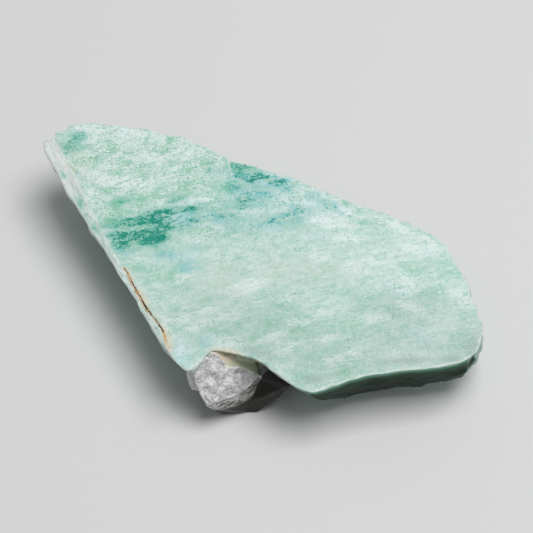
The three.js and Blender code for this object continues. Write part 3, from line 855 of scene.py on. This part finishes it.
# %% The flecks group
def flecks_group():
    """Dots of about a size in metres, in a share of the cells of a Voronoi texture."""
    tree, given, out = new_group("flecks", ["Size", "Share"], ["Mask"])
    cells = add(tree, "ShaderNodeTexVoronoi",
                {"Vector": given["Vector"], "Scale": calc(tree, "DIVIDE", 1, given["Size"])})
    chosen = add(tree, "ShaderNodeSeparateColor", {"Color": cells.outputs["Color"]}).outputs[0]
    inside = calc(tree, "SUBTRACT", 1, ramped(tree, cells.outputs["Distance"], 0.15, 0.4))
    put(tree, out["Mask"], calc(tree, "MULTIPLY", inside, calc(tree, "LESS_THAN", chosen, given["Share"])))
    return tree


FLECKS = flecks_group()
print(FLECKS.name, "group:", len(FLECKS.nodes), "nodes")

# %% [markdown]
# ## Using the groups
#
# A material places a group once for each set of streaks or flecks and gives it its own numbers. Everything
# reads Object coordinates, which are metres from the piece's origin, so a size in millimetres stays true
# wherever the piece stands. A table of streaks keeps a material's numbers in one place.

# %% Use the groups in a material
def new_material(name):
    """A new material: itself, its node tree, its shader and the place on the piece."""
    material = bpy.data.materials.new(name)
    material.use_nodes = True
    tree = material.node_tree
    return material, tree, tree.nodes["Principled BSDF"], add(tree, "ShaderNodeTexCoord").outputs["Object"]


def streaks(tree, vector, turn, along, across, seed, roughness=0.6, wisps=0.4):
    """Streaks in a material, soft and as threads: the turn in radians and the sizes in millimetres."""
    made = add(tree, "ShaderNodeGroup", node_tree=STREAKS)
    for name, value in {"Vector": vector, "Turn": turn, "Along": along * MM, "Across": across * MM,
                        "Seed": seed, "Roughness": roughness, "Wisps": wisps}.items():
        put(tree, made.inputs[name], value)
    return made.outputs["Soft"], made.outputs["Threads"]


def streak_set(tree, place, table):
    """The soft streaks and the threads for each row of a table, by name."""
    made = {name: streaks(tree, place, *numbers) for name, numbers in table.items()}
    return {name: soft for name, (soft, _) in made.items()}, {name: thin for name, (_, thin) in made.items()}


def flecks(tree, vector, size, share):
    """Flecks in a material: the size in millimetres and the share of cells that have one."""
    made = add(tree, "ShaderNodeGroup", node_tree=FLECKS)
    for name, value in {"Vector": vector, "Size": size * MM, "Share": share}.items():
        put(tree, made.inputs[name], value)
    return made.outputs["Mask"]


# %% [markdown]
# ## The amazonite's streaks and tones
#
# The finish is built the way the stone is: a green ground, a white veil over it, and the frost, the stains,
# the painted highlight on the rim and the painted shade on the front right wall last. All of them are broken
# up by the same few sets of streaks, from clouds of several millimetres to a fine fleece. That ties the
# layers together, as the real grain does. First the tones from the ovals are turned into lace: a share of an
# attribute is multiplied by the streaks, so that a patch is solid in its middle and ragged at its edge.

# %% Streaks and lacy tones
ACROSS = math.radians(-50)
STRIP_TURN = math.radians(-32)
STONE_STREAKS = {  # turn, length and width in millimetres, seed, roughness, wisps
    "clouds": (GRAIN, 7, 4, 1.3, 0.5, 0.8),
    "hues": (GRAIN, 6, 3.5, 8.3, 0.5, 0.5),
    "lamellae": (GRAIN, 3.4, 1.1, 2.7, 0.6, 0.9),
    "fleece": (GRAIN, 1.3, 0.85, 3.1, 0.72, 1.4),
    "crossing": (ACROSS, 1.5, 0.8, 4.9, 0.72, 1.4),
    "fine": (GRAIN, 0.6, 0.42, 6.7, 0.6, 1.0),
    "slits": (STRIP_TURN, 3.0, 0.4, 23.9, 0.6, 0.8),
    "splits": (STRIP_TURN, 4.0, 0.5, 21.7, 0.6, 0.6),
}


def lacy_tones(tree, soft, frost):
    """How strongly each tone from the ovals shows at each point."""
    mottled = attribute(tree, "aqua")
    lace = shifted(tree, 1.0, soft["fleece"], calc(tree, "MULTIPLY_ADD", mottled, 1.2, 1.5))
    lace = shifted(tree, lace, soft["fine"], 1.6)
    lace = shifted(tree, lace, soft["lamellae"], calc(tree, "MULTIPLY_ADD", mottled, 1.4, 1.1))
    green = calc(tree, "MULTIPLY", attribute(tree, "green"), shifted(tree, 0.85, soft["fleece"], 1.2))
    green = calc(tree, "MULTIPLY", green, calc(tree, "MULTIPLY_ADD", frost, 0.6, 0.4))
    teal = calc(tree, "MULTIPLY", attribute(tree, "teal"), lace)
    return {
        "mottled": mottled,
        "green": green,
        "aqua": ramped(tree, calc(tree, "MULTIPLY", mottled, lace), 0.1, 1.1),
        "teal": calc(tree, "MINIMUM", calc(tree, "MAXIMUM", teal, 0), 1),
        "white": calc(tree, "MULTIPLY", attribute(tree, "white"), lace),
    }


# %% [markdown]
# ## The green ground
#
# The plainest amazonite is a pale, slightly greyish green that drifts between a leaf green and a bluer one.
# Green, aqua and teal are laid on it one after the other. Where the teal is strongest it gets darker as
# well as stronger, as thick pigment does.

# %% Green ground
def green_ground(tree, soft, tones):
    """The colour of the stone before any white lies over it."""
    ground = mixed(tree, soft["hues"], colour("8ac1aa"), "92c5b8")
    ground = mixed(tree, tones["green"], ground, "6fbd97")
    ground = laid(tree, tones["aqua"], 0.6, ground, "60bbbf")
    pigment = mixed(tree, tones["aqua"], colour("26b298"), "20b2b1")
    pigment = mixed(tree, ramped(tree, tones["teal"], 0.55, 0.95), pigment, "008f7b")
    return mixed(tree, tones["teal"], ground, pigment)


# %% [markdown]
# ## The white veil
#
# The albite is a thin white veil over the green. Its thickness is a sum: a middle value, moved by each set
# of streaks, more where the stone is frosted, then raised in the white places and lowered in the green ones.
# A smooth ramp turns the sum into a share. The teal stays clear of it, and the broad cream and the painted
# shade on the right come over it.

# %% White veil
VEIL_STREAKS = {  # strength on the frosted lobe, added to the strength everywhere
    "clouds": (0.1, 0.1), "lamellae": (0.2, 0.14), "fleece": (0.42, 0.1), "crossing": (0.34, 0.06),
}


def white_veil(tree, soft, tones, frost, ground):
    """The ground with the albite's white over it."""
    veil = 0.52
    for name, (frosted, everywhere) in VEIL_STREAKS.items():
        veil = shifted(tree, veil, soft[name], calc(tree, "MULTIPLY_ADD", frost, frosted, everywhere))
    white_in_aqua = calc(tree, "MULTIPLY", tones["white"], tones["mottled"])
    for value, share in ((tones["white"], 0.24), (white_in_aqua, 0.3), (attribute(tree, "pale"), 0.1),
                         (tones["green"], -0.16)):
        veil = calc(tree, "MULTIPLY_ADD", value, share, veil)
    veil = shifted(tree, ramped(tree, veil, 0.16, 0.9), soft["fine"],
                   calc(tree, "MULTIPLY_ADD", frost, 0.75, 0.12))
    clear_of_teal = calc(tree, "MAXIMUM", calc(tree, "MULTIPLY_ADD", tones["teal"], -1.35, 1), 0)
    veil = calc(tree, "MULTIPLY", calc(tree, "MAXIMUM", veil, 0), clear_of_teal)
    surface = mixed(tree, veil, ground, mixed(tree, tones["aqua"], colour("dfedea"), "daecee"))
    surface = laid(tree, attribute(tree, "cream"), 0.3, surface, "d3dace")
    # painted shade on the right, laid over in grey
    return laid(tree, attribute(tree, "right shade"), 0.28, surface, "96aaa0")


# %% [markdown]
# ## Frost
#
# On the frosted lobe, tiny broken layers show as white hairs, and the light that they catch is painted as
# white dots: painted glints. The hairs are the threads of two sets of streaks that cross, and the dots are
# flecks. The solid teal has few of them.

# %% Frost
def frosted_over(tree, place, thin, tones, frost, surface):
    """The surface with white hairs and painted glints as dots on it, and the mask of the dots."""
    showing = calc(tree, "MULTIPLY", frost, calc(tree, "MULTIPLY_ADD", tones["teal"], -0.88, 1))
    hairs = calc(tree, "MAXIMUM", thin["fleece"], calc(tree, "MULTIPLY", thin["crossing"], 0.8))
    surface = laid(tree, hairs, calc(tree, "MULTIPLY", showing, 0.6), surface, "f0f6f4")
    # painted glints: white dots where grains catch the light
    dots = calc(tree, "MAXIMUM", flecks(tree, place, 0.34, calc(tree, "MULTIPLY", showing, 0.16)),
                flecks(tree, place, 0.6, calc(tree, "MULTIPLY", showing, 0.03)))
    return laid(tree, dots, 0.8, surface, "fbfdfd"), dots


# %% [markdown]
# ## The strip and the stains
#
# The strip's streaks run along the edge, not along the grain: white and grey-green bands, white splits and
# dark gaps. Its upper edge is a pale line. The iron stains are laid over everything that they soaked into.
# Along the crack the rust changes from gold at the ends to dark brown in the middle, so its colours are a
# ramp over the share of the crack passed.

# %% Strip and stains
RUST_GOLD = [(0.0, "d8b47a"), (0.1, "c4924b"), (0.4, "b98443"), (0.6, "a98c4c"), (0.8, "c09a5c"),
             (1.0, "e2cba2")]
RUST_CORE = [(0.0, "a06a2a"), (0.2, "7d4716"), (0.33, "5f3410"), (0.45, "6b3f13"), (0.58, "54421c"),
             (0.74, "4a3c1a"), (0.8, "7a5220")]


def strip_over(tree, soft, thin, surface):
    """The surface with the grey-white strip along the left edge."""
    strip = attribute(tree, "strip")
    bands = mixed(tree, ramped(tree, soft["slits"], 0.2, 0.8), colour("86ab9f"), "e3e9e7")
    surface = laid(tree, strip, shifted(tree, 0.55, soft["fleece"], 0.8), surface, bands)
    surface = laid(tree, strip, calc(tree, "MULTIPLY", thin["splits"], 0.7), surface, "eef2f1")
    surface = laid(tree, strip, calc(tree, "MULTIPLY", thin["slits"], 0.6), surface, "6f8f84")
    surface = laid(tree, attribute(tree, "tip"), 0.5, surface, "efeaea")
    along_its_edge = attribute(tree, "strip line")
    return laid(tree, along_its_edge, shifted(tree, 0.5, soft["slits"], 1.5), surface, "e6ebe6")


def stains_over(tree, soft, surface):
    """The surface with the hairlines, the soaked stain, the bay's blotches and the rusty crack."""
    passed = attribute(tree, "crack share")
    blotches = mixed(tree, soft["fine"], colour("ebe3d0"), "e6c39a")
    surface = laid(tree, attribute(tree, "hairline"), 0.35, surface, "7fae9f")
    surface = laid(tree, attribute(tree, "stain"), shifted(tree, 0.5, soft["fleece"], 0.6), surface, "e6cda9")
    surface = laid(tree, attribute(tree, "bay stain"), shifted(tree, 0.75, soft["fleece"], 0.9), surface,
                   blotches)
    surface = laid(tree, attribute(tree, "rust"), 0.9, surface, ramp_of(tree, passed, RUST_GOLD))
    return mixed(tree, ramped(tree, attribute(tree, "crack"), 0.15, 0.7), surface,
                 ramp_of(tree, passed, RUST_CORE))


# %% [markdown]
# ## Walls, painted highlights and shade, gloss and bump
#
# The walls are a little greener and darker than the face, the bay is olive, and the rim is painted white as a
# highlight. The front right wall goes from pale at the rim to a very dark green low down: partly the clear
# stone's deeper green, and partly painted shade under the rim. The face is satin rather than glossy, and a
# little light passes under the surface. Its finest crackle is too small to carve, so it is bump.

# %% Amazonite
# from pale at the rim to nearly black low down: deep green and painted shade
GREEN_TO_SHADE = [(0.0, "7fae98"), (0.07, "326c4f"), (0.2, "113a27"), (1.0, "0a2016")]
FELDSPAR_IOR = 1.53


def walls_over(tree, surface):
    """The surface with the colours of the walls and the bay, the painted highlight on the rim, and the
    painted shade on the front right wall.
    """
    surface = laid(tree, attribute(tree, "wall"), 0.3, surface, "6f9f8c")
    surface = laid(tree, attribute(tree, "bay"), 0.7, surface, "6b7050")
    # painted highlight along the rim
    surface = laid(tree, attribute(tree, "rim"), 0.7, surface, "eaf1ef")
    # painted shade: the front right wall darkens downwards under the rim
    return mixed(tree, attribute(tree, "deep green and shade"), surface,
                 ramp_of(tree, attribute(tree, "depth"), GREEN_TO_SHADE))


def amazonite_material():
    """Satin blue-green feldspar: all the layers above, one over the other."""
    material, tree, shader, place = new_material("amazonite")
    soft, thin = streak_set(tree, place, STONE_STREAKS)
    frost = attribute(tree, "frost")
    tones = lacy_tones(tree, soft, frost)
    surface = white_veil(tree, soft, tones, frost, green_ground(tree, soft, tones))
    surface, dots = frosted_over(tree, place, thin, tones, frost, surface)
    surface = stains_over(tree, soft, strip_over(tree, soft, thin, surface))
    put(tree, shader.inputs["Base Color"], walls_over(tree, surface))

    satin = shifted(tree, 0.48, soft["fleece"], 0.2)
    put(tree, shader.inputs["Roughness"], calc(tree, "MULTIPLY_ADD", dots, -0.25, satin))
    shader.inputs["IOR"].default_value = FELDSPAR_IOR
    shader.inputs["Specular IOR Level"].default_value = 0.15
    shader.inputs["Subsurface Weight"].default_value = 0.12
    shader.inputs["Subsurface Radius"].default_value = (0.8, 1.0, 0.9)
    shader.inputs["Subsurface Scale"].default_value = 1.5 * MM

    crackle = shifted(tree, shifted(tree, 0.5, soft["fleece"], 0.6), soft["crossing"], 0.5)
    bump = add(tree, "ShaderNodeBump", {"Height": calc(tree, "MULTIPLY", crackle, frost), "Strength": 0.5,
                                        "Distance": 0.12 * MM})
    put(tree, shader.inputs["Normal"], bump.outputs["Normal"])
    return material


slab.data.materials.clear()
slab.data.materials.append(amazonite_material())
print("amazonite:", len(slab.data.materials[0].node_tree.nodes), "nodes")

# %% [markdown]
# ## The quartz lump
#
# The lump broke across, not along a crystal face, so its upper face is sugary: thousands of small curved
# breaks that scatter the light and look grey-white. The rest is clear, smoky quartz with a glassy surface.
# Its copy is finer than the slab's, because its facets are smaller. How far each of its vertices is from
# the slab is measured with a search tree, which finds the nearest face quickly.

# %% Copy the quartz, and measure its distance to the slab
LUMP_SQUARE = 0.22

lump = fine_copy("quartz_lump", "quartz", LUMP_SQUARE)
wear_down(lump, np.ones(len(lump.data.vertices), bool), 3)
shape = bmesh.new()
shape.from_mesh(slab.data)
stone = BVHTree.FromBMesh(shape)
shape.free()
places, normals = surface_of(lump)
x, y, z = places.T
to_stone = np.array([stone.find_nearest(Vector(point * MM))[3] for point in places]) / MM
print("the quartz comes within", round(float(to_stone.min()), 2), "mm of the slab")

# %% [markdown]
# ## The broken face of the quartz
#
# Its outline is one more path of corners in plan. Inside it, and only where the surface looks up and to the
# front right, the break is sugary. Voronoi noise gives the distance to the nearest of many scattered points,
# which makes small curved hollows that meet in sharp ridges, as shell-shaped breaks do. They are larger in a
# few clusters. The edge of the break, and the ridges of the lump, are painted bright: a painted highlight
# where the edges catch the light.

# %% Masks of the broken face
BROKEN_FACE = (0.65, -0.44, 0.62)
BREAK_OUTLINE = [(6.0, -29.8), (7.2, -30.6), (8.4, -31.2), (10.0, -31.7), (10.5, -31.3), (12.6, -28.3),
                 (14.0, -26.3), (15.2, -24.4), (16.3, -21.4), (17.1, -19.2), (14.9, -20.3), (13.1, -21.2),
                 (12.3, -22.1), (11.5, -22.9), (10.5, -23.4), (9.7, -23.3), (8.9, -23.0), (8.1, -22.9),
                 (6.8, -23.7), (5.9, -24.7), (5.2, -25.8), (4.9, -28.8), (6.0, -29.8)]
CLUSTERS = [(8.7, -30.5, 1.6, 1.6, 60), (9.5, -29.6, 1.4, 1.2, 0), (11.4, -27.0, 2.0, 1.4, 50),
            (12.0, -23.8, 1.8, 1.1, 60), (8.7, -25.0, 1.6, 1.1, 60), (13.5, -22.7, 1.4, 0.9, 40),
            (12.2, -25.4, 1.6, 1.0, 60), (9.4, -27.6, 1.4, 1.0, 30)]

inside, _ = distance_to(BREAK_OUTLINE, x, y)
inside = inside + 0.25 * noise_over(y / 1.1, z / 1.1)
sugary = rise(-0.1, 0.2, inside) * rise(0.7, 0.88, facing(normals, *BROKEN_FACE)) * rise(7.4, 8.2, z)
clusters = oval_cover(CLUSTERS, x, y)
edge_line = (1 - rise(0.05, 0.2, np.abs(inside))) * rise(7.6, 8.4, z) * rise(0.2, 0.5, normals[:, 2])
edge_line *= 0.25 + 0.75 * rise(-0.2, 0.2, noise_over(y / 0.9, z / 0.9, seed=91))
# painted highlight along the quartz's edges and ridges
ridge = np.maximum(rise(0.008, 0.03, ridges_of(lump)) * (1 - rise(15, 17, x)), edge_line)
print("sugary vertices:", int((sugary > 0.5).sum()))

# %% [markdown]
# ## The other places of the quartz
#
# Under the break the side is splintered, in long slivers that lie one over the other. Between the broken face
# and the slab there is a hollow, cloudy and a little olive, which is painted darker towards the tail as shade
# under the slab's overhang. Rust from the slab's bay has run along the seam there. The plate on the left is
# grey and waxy.

# %% Masks of the side, the hollow and the plate
SPLINTERED_SIDE = (0.86, -0.5, 0.1)
HOLLOW_FACES = (0.66, -0.2, 0.7)

not_sugary = 1 - sugary
splintered = rise(3.5, 5.5, z) * (1 - rise(15, 18, x)) * rise(0.5, 0.8, facing(normals, *SPLINTERED_SIDE))
splintered *= (1 - rise(0, 0.3, sugary)) * (1 - rise(9.6, 10.4, z))
hollow = rise(9.4, 11.6, z) * not_sugary * rise(0.45, 0.8, facing(normals, *HOLLOW_FACES))
hollow = hollow * (1 - rise(11.5, 15, x))
plate = rise(8.9, 9.4, z) * not_sugary * (1 - rise(6.6, 7.6, x))
seam_rust = (1 - rise(1.2, 2.8, to_stone)) * rise(12.4, 13.8, z) * rise(7, 8, x)
seam_rust = seam_rust * (1 - rise(10.4, 13.4, x)) * not_sugary
olive = (1 - rise(15.2, 17.4, x)) * rise(8.8, 9.6, z) * not_sugary
# painted shade: darker towards the tail, under the slab's overhang
tail_shade = rise(10.5, 16.5, x)
print("splintered vertices:", int((splintered > 0.5).sum()))

# %% [markdown]
# ## Carving the quartz
#
# Each place has its own relief: curved hollows on the break, slow waves on the glassy parts, slivers on the
# splintered side. The two solids keep a small gap between them, which the real minerals don't have. So the
# quartz is swelled there to fill it, by a depth below nothing.

# %% Carve the quartz
SPLINTER_ALONG = (0.52, 0.86)
SEAM_FILL = 0.34


def worley(px, py, pz):
    """The distance to the nearest of points scattered one unit apart."""
    return np.array([noise.voronoi(Vector(point))[0][0] for point in np.stack((px, py, pz), -1)])


large = worley(x / 1.7, y / 1.7, z / 1.7)
small = worley(x / 0.6, y / 0.6, z / 0.6)
waves = noise_over(y / 2.2, z / 2.2)
slivers = noise_over((y * SPLINTER_ALONG[0] - x * SPLINTER_ALONG[1]) / 0.5, z / 0.5)
depths = sugary * (0.5 * large + (0.08 + 0.24 * clusters) * small - 0.24)
depths += not_sugary * (0.1 * waves + 0.05) + 0.22 * splintered * slivers + 0.35 * hollow
depths -= SEAM_FILL * (1 - rise(0.4, 0.9, to_stone))
carve(lump, depths)
for name, values in {"sugary": sugary, "clusters": clusters, "ridge": ridge, "plate": plate, "olive": olive,
                     "splinters": splintered, "tail_shade": tail_shade, "seam rust": seam_rust}.items():
    give(lump, name, values)

# %% [markdown]
# ## Smoky quartz
#
# The clear parts are a dark, faintly olive glass: half of the light passes through, and the rest shows a dark
# colour with a few veils in it. That dark colour is partly the quartz's own smoke and partly painted shade,
# as the lump lies under the slab's overhang. Glass keeps one plain transmission all over, so these faces have
# a material of their own. Where splinters have lifted, air lies under them and they look white.

# %% Smoky quartz
QUARTZ_IOR = 1.544
SPLINTER_TURN = math.radians(59)
SPLINTER_STREAKS = (SPLINTER_TURN, 2.2, 0.35, 15.3, 0.7, 0.6)
SMOKY_STREAKS = {"veils": (-0.9, 1.6, 0.7, 11.3, 0.7, 1.2), "splinters": SPLINTER_STREAKS}


def smoky_material():
    """Clear, dark quartz with a glassy surface."""
    material, tree, shader, place = new_material("smoky quartz")
    soft, thin = streak_set(tree, place, SMOKY_STREAKS)
    splintery = attribute(tree, "splinters")
    # dark olive: partly smoky quartz, partly painted shade under the slab
    surface = mixed(tree, soft["veils"], colour("2e3224"), "1b1d13")
    surface = laid(tree, splintery, ramped(tree, soft["splinters"], 0.45, 0.75), surface, "d4d5d0")
    surface = laid(tree, splintery, calc(tree, "MULTIPLY", thin["splinters"], 0.9), surface, "ffffff")
    surface = laid(tree, thin["veils"], 0.06, surface, "c9cac6")
    # painted highlight on the ridges
    surface = laid(tree, attribute(tree, "ridge"), 0.5, surface, "b9bab4")
    put(tree, shader.inputs["Base Color"], surface)
    shader.inputs["Roughness"].default_value = 0.22
    shader.inputs["IOR"].default_value = QUARTZ_IOR
    shader.inputs["Specular IOR Level"].default_value = 0.25
    shader.inputs["Transmission Weight"].default_value = 0.5
    return material


lump.data.materials.clear()
lump.data.materials.append(smoky_material())
print("smoky quartz:", len(lump.data.materials[0].node_tree.nodes), "nodes")

# %% [markdown]
# ## The colours of the cloudy quartz
#
# The sugary break is a sum of streaks of three sizes turned into greys by a ramp, with painted glints as
# bright specks and painted shade as dark pits. The pits use the same flecks as the specks, moved by half a
# grain, so that they fall between them. The hollow is an olive haze, painted pale near the slab for the light
# that passes through the quartz into its shade. The hollow and the break are painted darker towards the tail,
# as shade under the slab's overhang. The plate is a waxy grey.

# %% The milky parts and the sugary break
CLOUDY_STREAKS = {"clouds": (0, 3, 2.4, 12.1), "grains": (0, 1.5, 1.2, 13.7, 0.8, 1.2),
                  "fine": (0, 0.4, 0.35, 14.9), "splinters": SPLINTER_STREAKS}
HALF_A_GRAIN = (0.23 * MM, 0.17 * MM, 0.21 * MM)
SPLINTER_GREYS = [(0.2, "161613"), (0.45, "60615d"), (0.66, "c6c7c3"), (0.85, "ffffff")]
SUGAR_GREYS = [(0.05, "8f8f91"), (0.35, "c4c4c6"), (0.65, "e0dfe0"), (0.9, "ffffff")]


def milky_colour(tree, soft, thin):
    """The hollow, the plate and the white of the splinters."""
    # painted light: the haze is pale near the slab, for light that passes through the quartz into the shaded
    # hollow
    haze = mixed(tree, soft["grains"], colour("d3d5b8"), "e6e7cf")
    # painted shade: duller towards the tail
    haze = mixed(tree, attribute(tree, "tail_shade"), haze, "b4b79c")
    # painted shade: dark where the olive mask ends, at the tail under the slab
    milky = mixed(tree, attribute(tree, "olive"), colour("20231a"), haze)
    waxy = mixed(tree, soft["grains"], colour("9fa2a2"), "e0e2e2")
    milky = mixed(tree, attribute(tree, "plate"), milky, waxy)
    slivers = calc(tree, "MULTIPLY_ADD", thin["splinters"], 0.3, soft["splinters"])
    return mixed(tree, attribute(tree, "splinters"), milky, ramp_of(tree, slivers, SPLINTER_GREYS))


def sugary_colour(tree, place, soft, thin):
    """The greys of the broken face."""
    clusters = attribute(tree, "clusters")
    tone = shifted(tree, shifted(tree, 0.5, soft["clouds"], 0.6), soft["grains"], 1.1)
    tone = shifted(tree, tone, soft["fine"], 0.35)
    broken = ramp_of(tree, calc(tree, "MULTIPLY_ADD", clusters, 0.3, tone), SUGAR_GREYS)
    # painted shade: the broken face greyer towards the tail
    broken = laid(tree, attribute(tree, "tail_shade"), 0.4, broken, "8e8f92")
    # painted glints: bright specks on the broken face
    specks = flecks(tree, place, 0.5, calc(tree, "MULTIPLY_ADD", clusters, 0.6, 0.08))
    broken = laid(tree, specks, 0.85, broken, "fafafc")
    moved = add(tree, "ShaderNodeVectorMath", {0: place, 1: HALF_A_GRAIN}, operation="ADD").outputs[0]
    # painted shade: dark pits between the specks
    pits = flecks(tree, moved, 0.45, calc(tree, "MULTIPLY_ADD", clusters, 0.3, 0.04))
    broken = laid(tree, pits, 0.5, broken, "6f7072")
    return laid(tree, thin["grains"], 0.3, broken, "efeff0")


# %% [markdown]
# ## Cloudy quartz
#
# The broken face, the plate and the hollow scatter the light instead of passing it. That could be done with
# a volume inside glass, but it is slow and can't be baked. An opaque surface with a little light under it
# looks the same on so small a lump.

# %% Cloudy quartz
def cloudy_material():
    """White and grey quartz that scatters the light."""
    material, tree, shader, place = new_material("cloudy quartz")
    soft, thin = streak_set(tree, place, CLOUDY_STREAKS)
    sugary = attribute(tree, "sugary")
    surface = mixed(tree, sugary, milky_colour(tree, soft, thin), sugary_colour(tree, place, soft, thin))
    rusty = mixed(tree, soft["grains"], colour("faf3e6"), "f2d8b8")
    surface = mixed(tree, attribute(tree, "seam rust"), surface, rusty)
    # painted highlight on the ridges and the break's edge
    surface = laid(tree, attribute(tree, "ridge"), 0.9, surface, "fbfbf6")
    put(tree, shader.inputs["Base Color"], surface)
    put(tree, shader.inputs["Roughness"], shifted(tree, 0.3, soft["fine"], 0.25))
    shader.inputs["IOR"].default_value = QUARTZ_IOR
    shader.inputs["Subsurface Weight"].default_value = 0.15
    shader.inputs["Subsurface Radius"].default_value = (1, 1, 1)
    shader.inputs["Subsurface Scale"].default_value = 1.0 * MM
    grit = calc(tree, "MULTIPLY", sugary, shifted(tree, soft["fine"], soft["grains"], 0.6))
    bump = add(tree, "ShaderNodeBump", {"Height": grit, "Strength": 0.8, "Distance": 0.15 * MM})
    put(tree, shader.inputs["Normal"], bump.outputs["Normal"])
    return material


lump.data.materials.append(cloudy_material())
print("cloudy quartz:", len(lump.data.materials[1].node_tree.nodes), "nodes")

# %% [markdown]
# ## Which face gets which quartz
#
# A piece can have several materials, and each face has the number of its own. The masks that carved the
# surface choose it here, from the mean of the face's corners, so the finish and the relief agree.

# %% Choose the material of each face
CLOUDY = 1
CLOUDY_FROM = 0.3

scatters = np.max((sugary, plate, rise(8.2, 8.8, z), splintered), axis=0)
chosen = []
for face in lump.data.polygons:
    mean = sum(scatters[i] for i in face.vertices) / len(face.vertices)
    chosen.append(CLOUDY if mean > CLOUDY_FROM else 0)
lump.data.polygons.foreach_set("material_index", np.array(chosen, np.int32))
print("cloudy faces:", sum(chosen), "of", len(chosen))

# %% [markdown]
# ## Light
#
# A mineral is shown under one big soft lamp. The lamp stands almost overhead, so the cleavage face is bright
# and the walls under its rim stay dark. The world gives a little light from all sides. A sun lamp would be
# simpler, but its hard shadows would hide the walls.

# %% Lamp and room
LAMP_PLACE = (0.2, 0.15, 0.97)
LAMP_SIDE, LAMP_WATTS = 0.6, 8
ROOM_LIGHT, ROOM_STRENGTH = (0.8, 0.81, 0.82, 1), 0.3

lamp = bpy.data.lights.new("overhead lamp", "AREA")
lamp.shape = "SQUARE"
lamp.size = LAMP_SIDE
lamp.energy = LAMP_WATTS
light = bpy.data.objects.new("overhead lamp", lamp)
light.location = LAMP_PLACE
light.rotation_euler = Vector(LAMP_PLACE).to_track_quat("Z", "Y").to_euler()
bpy.context.scene.collection.objects.link(light)

world = bpy.data.worlds.new("room")
world.use_nodes = True
world.node_tree.nodes["Background"].inputs["Color"].default_value = ROOM_LIGHT
world.node_tree.nodes["Background"].inputs["Strength"].default_value = ROOM_STRENGTH
bpy.context.scene.world = world
bpy.context.scene.view_settings.view_transform = "Standard"
print("lamp", round(Vector(LAMP_PLACE).length, 2), "m away")

# %% [markdown]
# ## Floor
#
# The specimen lies on a plain pale sheet, large enough to reach past every view. It belongs to the stage and
# not to the stone.

# %% Floor
PALE_PAPER = (0.72, 0.72, 0.71, 1)
FLOOR_REACH = 2

floor_shape = bmesh.new()
bmesh.ops.create_grid(floor_shape, x_segments=1, y_segments=1, size=FLOOR_REACH)
floor_mesh = bpy.data.meshes.new("floor")
floor_shape.to_mesh(floor_mesh)
floor_shape.free()
floor = bpy.data.objects.new("floor", floor_mesh)
bpy.context.scene.collection.objects.link(floor)
paper, _, paper_shader, _ = new_material("pale floor")
paper_shader.inputs["Base Color"].default_value = PALE_PAPER
paper_shader.inputs["Roughness"].default_value = 0.9
floor_mesh.materials.append(paper)
print("floor", 2 * FLOOR_REACH, "m wide")

# %% [markdown]
# ## Camera
#
# The specimen is seen from its front right and from well above, through a long lens, so that the flat face
# keeps its true outline. The camera's place follows from two angles and a distance from the point that it
# looks at, near the middle of the slab.

# %% Camera
AZIMUTH, ELEVATION = math.radians(31), math.radians(55)
LOOKED_AT = Vector((2.4, 7.7, 9.0)) * MM
DISTANCE = 0.47

lens = bpy.data.cameras.new("camera")
lens.lens = 135
lens.sensor_width = 36
lens.clip_start = 0.01
camera = bpy.data.objects.new("camera", lens)
back = Vector((math.sin(AZIMUTH) * math.cos(ELEVATION), -math.cos(AZIMUTH) * math.cos(ELEVATION),
               math.sin(ELEVATION)))
camera.location = LOOKED_AT + back * DISTANCE
camera.rotation_euler = back.to_track_quat("Z", "Y").to_euler()
bpy.context.scene.collection.objects.link(camera)
bpy.context.scene.camera = camera
print("camera", round(camera.location.z, 3), "m above the floor")

# %% [markdown]
# ## Finish
#
# Each piece is tied to the imported model's root, which it rides on, and the imported solid that it stands
# for is hidden.

# %% Tie the pieces to the model
for piece, node, slot in ((slab, "amazonite_slab", "amazonite"), (lump, "quartz_lump", "quartz")):
    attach(piece, "root")
    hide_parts(node)
